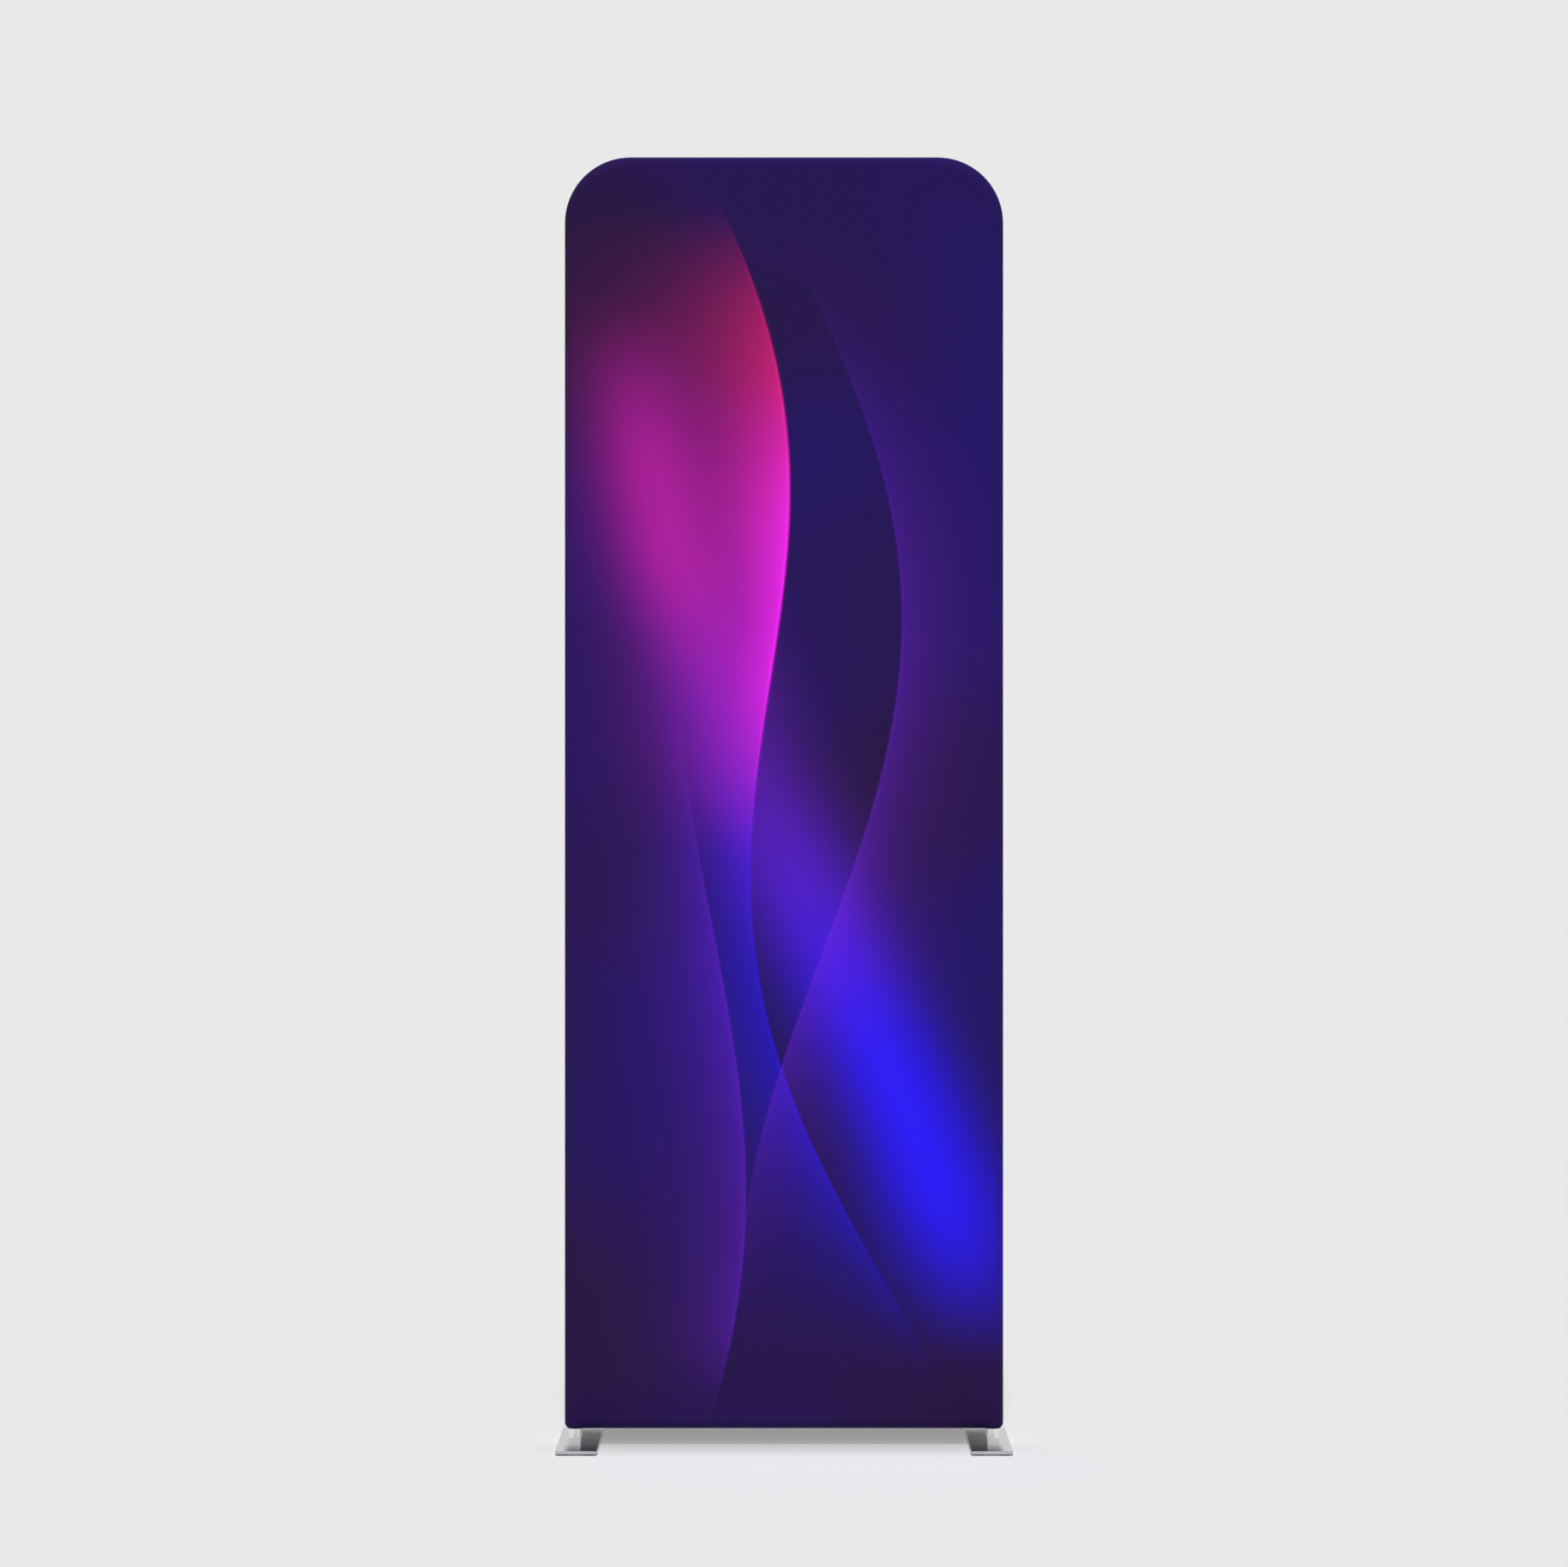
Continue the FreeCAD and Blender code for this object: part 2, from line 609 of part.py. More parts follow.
for leg_x in (pull_x - bail_radius, pull_x + bail_radius):
    leg_foot = slider_face - slider_plate / 2
    slider.append(Part.makeCylinder(wire_radius, pull_y - leg_foot, V(leg_x, leg_foot, zip_z), V(0, 1, 0)))
export("zip_slider", [slider[0].fuse(slider[1:]).removeSplitter()])

# Zip pull: a flat tab whose cross bar turns under the bail
tab = Part.makeBox(
    pull_length,
    pull_thickness,
    pull_width,
    V(pull_x - pull_length, pull_y - pull_thickness / 2, zip_z - pull_width / 2),
)
free_edges = [
    e
    for e in tab.Edges
    if abs(e.Length - pull_thickness) < 0.001 and e.CenterOfMass.x < pull_x - pull_length / 2
]
tab = tab.makeFillet(pull_end_round, free_edges)
cross_bar = Part.makeCylinder(
    pull_thickness / 2, pull_width, V(pull_x, pull_y, zip_z - pull_width / 2), V(0, 0, 1)
)
window_half = wire_radius + pull_gap + slip_clearance
window_length = bail_radius + wire_radius + pull_gap * 2 - pull_thickness / 2
window = Part.makeBox(
    window_length,
    2 * pull_thickness,
    2 * window_half,
    V(pull_x - pull_thickness / 2 - window_length, pull_y - pull_thickness, zip_z - window_half),
)
export("zip_pull", [tab.fuse(cross_bar).removeSplitter().cut(window)])
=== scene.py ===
"""Looks of a tension fabric backdrop wall: a printed stretch cover over a tube frame on two swivel feet."""

import math
from typing import NamedTuple

import bmesh
import bpy
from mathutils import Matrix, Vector


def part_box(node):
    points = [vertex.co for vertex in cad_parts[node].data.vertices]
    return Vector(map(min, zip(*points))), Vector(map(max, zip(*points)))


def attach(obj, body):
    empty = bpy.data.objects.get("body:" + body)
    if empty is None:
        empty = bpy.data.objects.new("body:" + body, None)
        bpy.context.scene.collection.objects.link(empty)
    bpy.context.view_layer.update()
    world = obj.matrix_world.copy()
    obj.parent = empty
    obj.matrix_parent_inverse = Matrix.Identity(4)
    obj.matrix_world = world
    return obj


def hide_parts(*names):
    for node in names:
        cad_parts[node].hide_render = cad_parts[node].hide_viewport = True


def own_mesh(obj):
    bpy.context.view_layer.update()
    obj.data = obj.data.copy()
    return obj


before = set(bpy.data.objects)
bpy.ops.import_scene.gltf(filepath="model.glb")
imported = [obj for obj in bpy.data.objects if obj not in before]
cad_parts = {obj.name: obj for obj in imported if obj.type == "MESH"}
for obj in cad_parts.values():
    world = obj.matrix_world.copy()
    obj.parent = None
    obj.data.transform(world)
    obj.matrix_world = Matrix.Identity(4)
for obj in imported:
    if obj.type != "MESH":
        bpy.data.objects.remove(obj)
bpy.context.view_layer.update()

bl_info = {
    "name": "Tension Fabric Backdrop",
    "version": (1, 0, 0),
    "blender": (4, 5, 0),
    "location": "3D View > Sidebar > Backdrop",
    "description": "Dresses the frame of a tension fabric backdrop wall and lights it",
    "category": "Object",
}

SIDES = ("left", "right")
PRINT_CRISP = 0.003
PRINT_HAIRLINE = 0.0035
HAIRLINE_STRENGTH = 0.5
ROD_SIDES = 5
CLOTH_CREASE_ANGLE = 60.0
CUT_TOLERANCE = 1e-7
TWILL_PITCH = 0.0009
TWILL_BAND = 0.0012
THREAD_TWIST = 0.0005
SLIP_JOINTS = ("top", "left_upper", "right_upper", "left_lower", "right_lower")
BUTTON_JOINTS = SLIP_JOINTS + ("left_bar", "right_bar")


def linear(red, green, blue):
    """Scene-linear colour from eight-bit screen values."""
    scene = []
    for value in (red, green, blue):
        share = value / 255
        scene.append(share / 12.92 if share <= 0.04045 else ((share + 0.055) / 1.055) ** 2.4)
    return tuple(scene)


def length(name, description, default):
    """A size in metres for the settings."""
    return bpy.props.FloatProperty(
        name=name, description=description, default=default, min=0.0, unit="LENGTH", precision=5
    )


def colour(name, description, red, green, blue):
    """A finish colour for the settings, from eight-bit screen values."""
    return bpy.props.FloatVectorProperty(
        name=name,
        description=description,
        default=linear(red, green, blue),
        min=0.0,
        max=1.0,
        size=3,
        subtype="COLOR",
    )


def level(name, description, default):
    """A plain strength or share for the settings."""
    return bpy.props.FloatProperty(name=name, description=description, default=default, min=0.0)


class CoverSettings(bpy.types.PropertyGroup):
    """Sizes and colours of the stretch cover."""

    cloth_thickness: length("Cloth thickness", "Thickness of the knitted cloth", 0.0005)
    corner_bend: length("Corner bend", "Radius of the tube bend under the top corners", 0.1)
    lower_round: length("Lower corner", "Radius of the rounded lower corners", 0.0138)
    post_gap: length("Post gap", "Gap between a foot post and the hole in the cloth", 0.0006)
    hole_lip: length("Hole lip", "Flat of cloth round the hole for a foot post", 0.0002)
    seam_depth: length("Seam depth", "Depth of the groove at the side seam", 0.0005)
    slot_height: length("Zip opening", "Height of the opening that shows the zip", 0.01)
    slot_margin: length("Zip margin", "Opening beyond each end of the zip", 0.003)
    knit_pitch: length("Knit pitch", "Spacing of the knitted ribs", 0.0009)
    ground: colour("Ground", "Dark plum ground of the print", 42, 24, 66)
    indigo: colour("Indigo", "Cooler ground of the print", 36, 23, 100)
    blue: colour("Blue", "Bright blue of the print", 21, 14, 251)
    violet: colour("Violet", "Violet between blue and magenta", 84, 18, 168)
    magenta: colour("Magenta", "Brightest magenta of the print", 236, 27, 239)
    pink: colour("Pink", "Deep pink of the print", 202, 21, 157)
    rose: colour("Rose", "Warm rose of the print", 229, 27, 109)
    back: colour("Back", "Plain colour of the back", 62, 57, 74)


class ZipSettings(bpy.types.PropertyGroup):
    """Sizes and colours of the zip."""

    tooth_pitch: length("Tooth pitch", "Spacing of the coil loops on one tape", 0.0015)
    wire: length("Coil wire", "Radius of the coil wire", 0.00032)
    edge_gap: length("Edge gap", "Distance of a tape's edge from the middle of the zip", 0.00115)
    edge_thickness: length("Edge thickness", "Thickness of the tape under the coil", 0.0003)
    stitch: length("Stitch", "Length of one sewn stitch", 0.0032)
    thread: length("Thread", "Radius of the sewing thread", 0.00028)
    stitch_margin: length("Stitch margin", "Distance from the opening to the stitches", 0.0028)
    tack_width: length("Tack width", "Length of the thread passes in a bar tack", 0.0022)
    tack_height: length("Tack height", "Height of the bar tack at each end of the opening", 0.0076)
    tape: colour("Tape", "Woven tape", 22, 19, 30)
    coil: colour("Coil", "Nylon coil", 30, 27, 38)
    metal: colour("Metal", "Enamelled slider, pull and stops", 34, 33, 37)
    cotton: colour("Thread", "Sewing thread", 52, 47, 66)


class FrameSettings(bpy.types.PropertyGroup):
    """Colours of the frame and the feet."""

    plate: colour("Plate", "Polished steel of the foot plates", 203, 203, 206)
    # Painted highlight: the posts' steel is paler than the plate's to stand in for lamp highlights; only
    # partly polish
    post: colour("Post", "Bright steel of the foot posts", 250, 250, 251)
    aluminium: colour("Aluminium", "Drawn tube", 205, 207, 211)
    insert: colour("Insert", "Mill-finish joint insert", 184, 187, 193)
    rivet: colour("Rivet", "Bright rivet", 214, 216, 219)
    chrome: colour("Chrome", "Plated snap button", 222, 224, 228)
    spring: colour("Spring", "Blued spring steel", 92, 94, 104)
    zinc: colour("Zinc", "Zinc-plated screw", 190, 192, 190)
    rubber: colour("Rubber", "Pads under the feet", 27, 27, 28)
    nylon: colour("Nylon", "Bushes in the uprights", 38, 38, 41)


class StageSettings(bpy.types.PropertyGroup):
    """Floor, light and camera."""

    floor: colour("Floor", "Pale floor and backdrop", 233, 233, 233)
    sky: level("Sky", "Even light from all round", 0.03)
    front: level("Front lamps", "Share of full light from the column of front lamps", 0.87)
    overhead: level("Overhead lamp", "Share of full light from the soft overhead lamp", 0.33)
    rear: level("Rear lamp", "Share of full light from the rear fill lamp", 0.3)
    distance: length("Camera distance", "From the middle of the wall to the camera", 10.99)
    eye: length("Camera height", "Height of the camera over the floor", 1.2054)
    lens: level("Lens", "Focal length in millimetres on a 36 mm sensor", 138.2)


class Finish:
    """A material under construction, with short ways to add and join its nodes."""

    def __init__(self, name, **constants):
        self.material = bpy.data.materials.new(name)
        self.material.use_nodes = True
        self.tree = self.material.node_tree
        self.shader = self.tree.nodes["Principled BSDF"]
        for socket, value in constants.items():
            self.set(socket.replace("_", " ").title().replace("Ior", "IOR"), value)

    def set(self, socket, value):
        """Set or link one input of the shader."""
        self.join(value, self.shader.inputs[socket])

    def join(self, value, socket):
        """Give a socket a plain value or the output of another node."""
        if isinstance(value, bpy.types.NodeSocket):
            self.tree.links.new(value, socket)
        elif socket.type == "RGBA" and len(value) == 3:
            socket.default_value = (*value, 1.0)
        else:
            socket.default_value = value

    def node(self, kind, **settings):
        """Add a node and set its options."""
        made = self.tree.nodes.new("ShaderNode" + kind)
        for option, value in settings.items():
            setattr(made, option, value)
        return made

    def place(self):
        """Object coordinates, which ride with the piece."""
        return self.node("TexCoord").outputs["Object"]

    def across_and_up(self):
        """The object coordinates along the wall and up it."""
        split = self.node("SeparateXYZ")
        self.join(self.place(), split.inputs[0])
        return split.outputs["X"], split.outputs["Z"]

    def math(self, operation, first, second=0.0, third=0.0):
        """One step of arithmetic."""
        made = self.node("Math", operation=operation)
        for socket, value in zip(made.inputs, (first, second, third)):
            self.join(value, socket)
        return made.outputs[0]

    def ease(self, value, start, end):
        """Smooth step from 0 at start to 1 at end."""
        made = self.node("MapRange", interpolation_type="SMOOTHSTEP")
        for socket, entry in zip(("Value", "From Min", "From Max"), (value, start, end)):
            self.join(entry, made.inputs[socket])
        return made.outputs[0]

    def spread(self, value, low, high):
        """Scale a 0 to 1 value to a range."""
        made = self.node("MapRange")
        self.join(value, made.inputs["Value"])
        self.join(low, made.inputs["To Min"])
        self.join(high, made.inputs["To Max"])
        return made.outputs[0]

    def blend(self, share, first, second, kind="MIX"):
        """Mix two colours."""
        made = self.node("Mix", data_type="RGBA", blend_type=kind)
        self.join(share, made.inputs[0])
        self.join(first, made.inputs[6])
        self.join(second, made.inputs[7])
        return made.outputs[2]

    def stretched(self, scale):
        """Object coordinates scaled apart along each axis."""
        made = self.node("Mapping")
        self.join(self.place(), made.inputs["Vector"])
        self.join(scale, made.inputs["Scale"])
        return made.outputs[0]

    def noise(self, scale, detail=3.0, along=None):
        """Soft noise, evenly or along stretched coordinates."""
        made = self.node("TexNoise")
        self.join(along if along else self.place(), made.inputs["Vector"])
        self.join(scale, made.inputs["Scale"])
        self.join(detail, made.inputs["Detail"])
        return made.outputs["Fac"]

    def ribs(self, pitch, axis):
        """Even ribs of a given pitch along one axis."""
        made = self.node("TexWave", bands_direction=axis, wave_profile="SIN")
        self.join(self.place(), made.inputs["Vector"])
        self.join(2 * math.pi / (20 * pitch), made.inputs["Scale"])
        return made.outputs["Fac"]

    def bump(self, height, strength, depth):
        """Raise the surface by a height map."""
        made = self.node("Bump")
        self.join(height, made.inputs["Height"])
        self.join(strength, made.inputs["Strength"])
        self.join(depth, made.inputs["Distance"])
        self.set("Normal", made.outputs[0])


def knit(finish, pitch):
    """Fine knitted ribs and loops of stretch cloth."""
    wales = finish.ribs(pitch, "X")
    courses = finish.ribs(pitch * 0.8, "Z")
    loops = finish.math("MULTIPLY", wales, courses)
    lint = finish.noise(900.0, 2.0)
    height = finish.math("MULTIPLY_ADD", lint, 0.35, loops)
    finish.bump(height, 0.35, 0.00012)


class PrintCurve(NamedTuple):
    """A flowing line of the print, in shares of the wall's width and waves up its height."""

    foot: float
    lean: float
    swing: float
    waves: float
    phase: float


class PrintSpan(NamedTuple):
    """Shares of the wall's height where a motif starts, is full, begins to fade and ends."""

    start: float
    full: float
    fade: float
    end: float


def print_line(finish, rise, curve):
    """Sideways place of a flowing line at each height."""
    turn = finish.math("MULTIPLY_ADD", rise, 2 * math.pi * curve.waves, curve.phase)
    wave = finish.math("MULTIPLY", finish.math("SINE", turn), curve.swing)
    lean = finish.math("MULTIPLY_ADD", rise, curve.lean, curve.foot)
    return finish.math("ADD", wave, lean)


def ribbon(finish, across, edge, side, width):
    """Light that starts at a crisp edge and fades away on one side of it."""
    gap = finish.math("MULTIPLY", finish.math("SUBTRACT", across, edge), side)
    crisp = finish.ease(gap, -PRINT_CRISP, PRINT_CRISP)
    distance = finish.math("MAXIMUM", gap, 0.0)
    fade = finish.math("EXPONENT", finish.math("DIVIDE", distance, -width))
    return finish.math("MULTIPLY", crisp, fade)


def glow(finish, across, centre, width):
    """A soft beam with no edges."""
    share = finish.math("DIVIDE", finish.math("SUBTRACT", across, centre), width)
    square = finish.math("MULTIPLY", share, share)
    return finish.math("EXPONENT", finish.math("MULTIPLY", square, -1.0))


def window(finish, rise, span):
    """Fades a motif in and out along the height."""
    opening = finish.ease(rise, span.start, span.full)
    closing = finish.ease(rise, span.end, span.fade)
    return finish.math("MULTIPLY", opening, closing)


def fold(finish, tint, place, curve, side, width, span, shade, strength):
    """Lay a fold of light over the print, brightest in a hairline at its crisp edge."""
    across, rise = place
    edge = print_line(finish, rise, curve)
    body = finish.math("MULTIPLY", ribbon(finish, across, edge, side, width), strength)
    hairline = glow(finish, across, edge, PRINT_HAIRLINE)
    brightest = finish.math("MULTIPLY", hairline, HAIRLINE_STRENGTH * strength)
    light = finish.math("MULTIPLY", finish.math("ADD", body, brightest), window(finish, rise, span))
    return finish.blend(light, tint, tuple(shade), "SCREEN")


def beam(finish, tint, place, curve, width, span, shade, strength):
    """Lay a soft beam with no edges over the print."""
    across, rise = place
    body = glow(finish, across, print_line(finish, rise, curve), width)
    light = finish.math("MULTIPLY", body, window(finish, rise, span))
    return finish.blend(finish.math("MULTIPLY", light, strength), tint, tuple(shade), "SCREEN")


def printed_cloth(settings):
    """Dyed print of flowing folds of light on a dark ground."""
    finish = Finish("printed_cloth", roughness=0.86, sheen_weight=0.02, specular_ior_level=0.06)
    low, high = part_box("cover_front")
    x, z = finish.across_and_up()
    across = finish.math("DIVIDE", x, high.x - low.x)
    rise = finish.math("DIVIDE", finish.math("SUBTRACT", z, low.z), high.z - low.z)
    place = (across, rise)
    cloud = finish.ease(finish.noise(1.3, 1.0), 0.35, 0.65)
    tint = finish.blend(cloud, tuple(settings.ground), tuple(settings.indigo))

    # Soft beams: blue low on the right, violet through the middle, pink high on the left
    slope = PrintCurve(foot=0.46, lean=-0.95, swing=0.07, waves=1.1, phase=0.4)
    beams = (
        (0.13, PrintSpan(0.04, 0.20, 0.26, 0.56), settings.blue, 0.95),
        (0.15, PrintSpan(0.28, 0.46, 0.52, 0.76), settings.violet, 0.7),
        (0.11, PrintSpan(0.54, 0.70, 0.74, 0.90), settings.pink, 0.55),
    )
    for width, span, shade, strength in beams:
        tint = beam(finish, tint, place, slope, width, span, shade, strength)

    # Folds with one crisp edge each: a long one down the middle and two that meet it low down
    long_fold = PrintCurve(foot=0.33, lean=-0.62, swing=0.17, waves=1.0, phase=2.6)
    right_fold = PrintCurve(foot=0.16, lean=-0.20, swing=0.24, waves=0.85, phase=4.3)
    left_fold = PrintCurve(foot=-0.30, lean=0.34, swing=0.16, waves=0.9, phase=0.9)
    folds = (
        (long_fold, -1.0, 0.11, PrintSpan(0.02, 0.24, 0.42, 0.66), settings.blue, 0.4),
        (long_fold, -1.0, 0.15, PrintSpan(0.60, 0.76, 0.80, 0.97), settings.rose, 0.75),
        (long_fold, -1.0, 0.10, PrintSpan(0.44, 0.62, 0.68, 0.84), settings.magenta, 0.9),
        (right_fold, 1.0, 0.10, PrintSpan(0.05, 0.35, 0.60, 0.97), settings.violet, 0.5),
        (left_fold, -1.0, 0.09, PrintSpan(0.0, 0.10, 0.34, 0.60), settings.violet, 0.55),
    )
    for curve, side, width, span, shade, strength in folds:
        tint = fold(finish, tint, place, curve, side, width, span, shade, strength)

    grain = finish.spread(finish.noise(1400.0, 1.0), 0.94, 1.06)
    finish.set("Base Color", finish.blend(1.0, tint, grain, "MULTIPLY"))
    knit(finish, settings.knit_pitch)
    return finish.material


def plain_cloth(settings):
    """Plain dyed back of the cover."""
    finish = Finish("plain_cloth", roughness=0.88, sheen_weight=0.12, specular_ior_level=0.2)
    paler = tuple(1.12 * part for part in settings.back)
    yarn = finish.noise(1100.0, 2.0)
    finish.set("Base Color", finish.blend(yarn, tuple(settings.back), paler))
    knit(finish, settings.knit_pitch)
    return finish.material


def woven_tape(settings):
    """Herringbone zip tape."""
    finish = Finish("woven_tape", roughness=0.82, sheen_weight=0.15)
    x, z = finish.across_and_up()
    slant = finish.math("PINGPONG", z, TWILL_BAND)
    along = finish.math("ADD", x, slant)
    twill = finish.math("SINE", finish.math("MULTIPLY", along, 2 * math.pi / TWILL_PITCH))
    lighter = tuple(min(1.0, 2.2 * part) for part in settings.tape)
    share = finish.spread(twill, 0.15, 0.6)
    finish.set("Base Color", finish.blend(share, tuple(settings.tape), lighter))
    finish.bump(twill, 0.4, 0.0001)
    return finish.material


def coil_nylon(settings):
    """Drawn nylon wire of the zip coil."""
    finish = Finish("coil_nylon", roughness=0.35, specular_ior_level=0.5)
    lighter = tuple(min(1.0, 1.6 * part) for part in settings.coil)
    finish.set("Base Color", finish.blend(finish.noise(500.0), tuple(settings.coil), lighter))
    finish.bump(finish.noise(2500.0, 1.0), 0.15, 0.00005)
    return finish.material


def sewing_thread(settings):
    """Twisted polyester thread."""
    finish = Finish("sewing_thread", roughness=0.6, sheen_weight=0.2)
    x, z = finish.across_and_up()
    along = finish.math("ADD", x, z)
    twist = finish.math("SINE", finish.math("MULTIPLY", along, 2 * math.pi / THREAD_TWIST))
    lighter = tuple(min(1.0, 1.5 * part) for part in settings.cotton)
    finish.set("Base Color", finish.blend(finish.spread(twist, 0.2, 0.8), tuple(settings.cotton), lighter))
    finish.bump(twist, 0.4, 0.00008)
    return finish.material


def enamel(settings):
    """Black enamel over cast metal, a little worn."""
    finish = Finish("black_enamel", metallic=0.6, coat_weight=0.4, coat_roughness=0.2)
    worn = finish.ease(finish.noise(420.0, 6.0), 0.55, 0.8)
    bare = tuple(2.2 * part for part in settings.metal)
    finish.set("Base Color", finish.blend(worn, tuple(settings.metal), bare))
    finish.set("Roughness", finish.spread(finish.noise(180.0), 0.25, 0.45))
    finish.bump(finish.noise(700.0), 0.1, 0.00008)
    return finish.material


def drawn_metal(name, shade, scale, roughness, depth):
    """Metal with fine lines along one direction, which the scale leaves long."""
    finish = Finish(name, metallic=1.0)
    lines = finish.noise(1.0, 4.0, finish.stretched(scale))
    patches = finish.noise(14.0, 4.0)
    darker = tuple(0.86 * part for part in shade)
    finish.set("Base Color", finish.blend(finish.ease(patches, 0.3, 0.75), darker, tuple(shade)))
    finish.set("Roughness", finish.spread(lines, *roughness))
    finish.bump(lines, 0.12, depth)
    return finish.material


def moulded(name, shade, roughness, grain):
    """Moulded plastic or rubber with a fine skin."""
    finish = Finish(name, specular_ior_level=0.4)
    skin = finish.noise(grain, 3.0)
    lighter = tuple(min(1.0, 1.5 * part) for part in shade)
    dust = finish.ease(finish.noise(60.0, 5.0), 0.45, 0.8)
    finish.set("Base Color", finish.blend(dust, tuple(shade), lighter))
    finish.set("Roughness", finish.spread(skin, *roughness))
    finish.bump(skin, 0.2, 0.00008)
    return finish.material


def new_piece(name, mesh, material, body):
    """Put a finished mesh in the scene as a piece that rides on a body."""
    piece = bpy.data.objects.new(name, mesh)
    bpy.context.scene.collection.objects.link(piece)
    mesh.materials.clear()
    mesh.materials.append(material)
    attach(piece, body)
    return piece


def mesh_from(name, shape, sharp_angle=35.0):
    """A smooth-shaded mesh from a bmesh, with its true edges kept sharp."""
    bmesh.ops.recalc_face_normals(shape, faces=shape.faces)
    mesh = bpy.data.meshes.new(name)
    shape.to_mesh(mesh)
    shape.free()
    mesh.polygons.foreach_set("use_smooth", [True] * len(mesh.polygons))
    mesh.set_sharp_from_angle(angle=math.radians(sharp_angle))
    return mesh


def sweep(shape, path, radius, sides=ROD_SIDES):
    """A closed round rod along a path of points."""
    rings = []
    for index, point in enumerate(path):
        before = path[max(index - 1, 0)]
        after = path[min(index + 1, len(path) - 1)]
        along = (after - before).normalized()
        helper = Vector((1, 0, 0)) if abs(along.x) < 0.8 else Vector((0, 0, 1))
        first = along.cross(helper).normalized()
        second = along.cross(first)
        ring = []
        for side in range(sides):
            turn = 2 * math.pi * side / sides
            spoke = first * math.cos(turn) + second * math.sin(turn)
            ring.append(shape.verts.new(point + spoke * radius))
        rings.append(ring)
    for low, high in zip(rings, rings[1:]):
        for side in range(sides):
            after = (side + 1) % sides
            shape.faces.new((low[side], low[after], high[after], high[side]))
    shape.faces.new(rings[0])
    shape.faces.new(rings[-1])


def arc(centre, radius, start, end, steps):
    """Points along an arc in the plane of the wall, angles in degrees."""
    points = []
    for step in range(steps + 1):
        turn = math.radians(start + (end - start) * step / steps)
        points.append(Vector((centre[0] + radius * math.cos(turn), centre[1] + radius * math.sin(turn))))
    return points


def line(start, end, steps):
    """Evenly spaced points on a straight run."""
    first = Vector(start)
    last = Vector(end)
    return [first.lerp(last, step / steps) for step in range(steps + 1)]


def chain_runs(*runs):
    """Join runs of points end to end, leaving out the doubled ends."""
    points = list(runs[0])
    for run in runs[1:]:
        points += run[1:]
    return points


def flipped(points):
    """The same run on the other side of the wall, in the opposite order."""
    return [Vector((-point.x, point.y)) for point in reversed(points)]


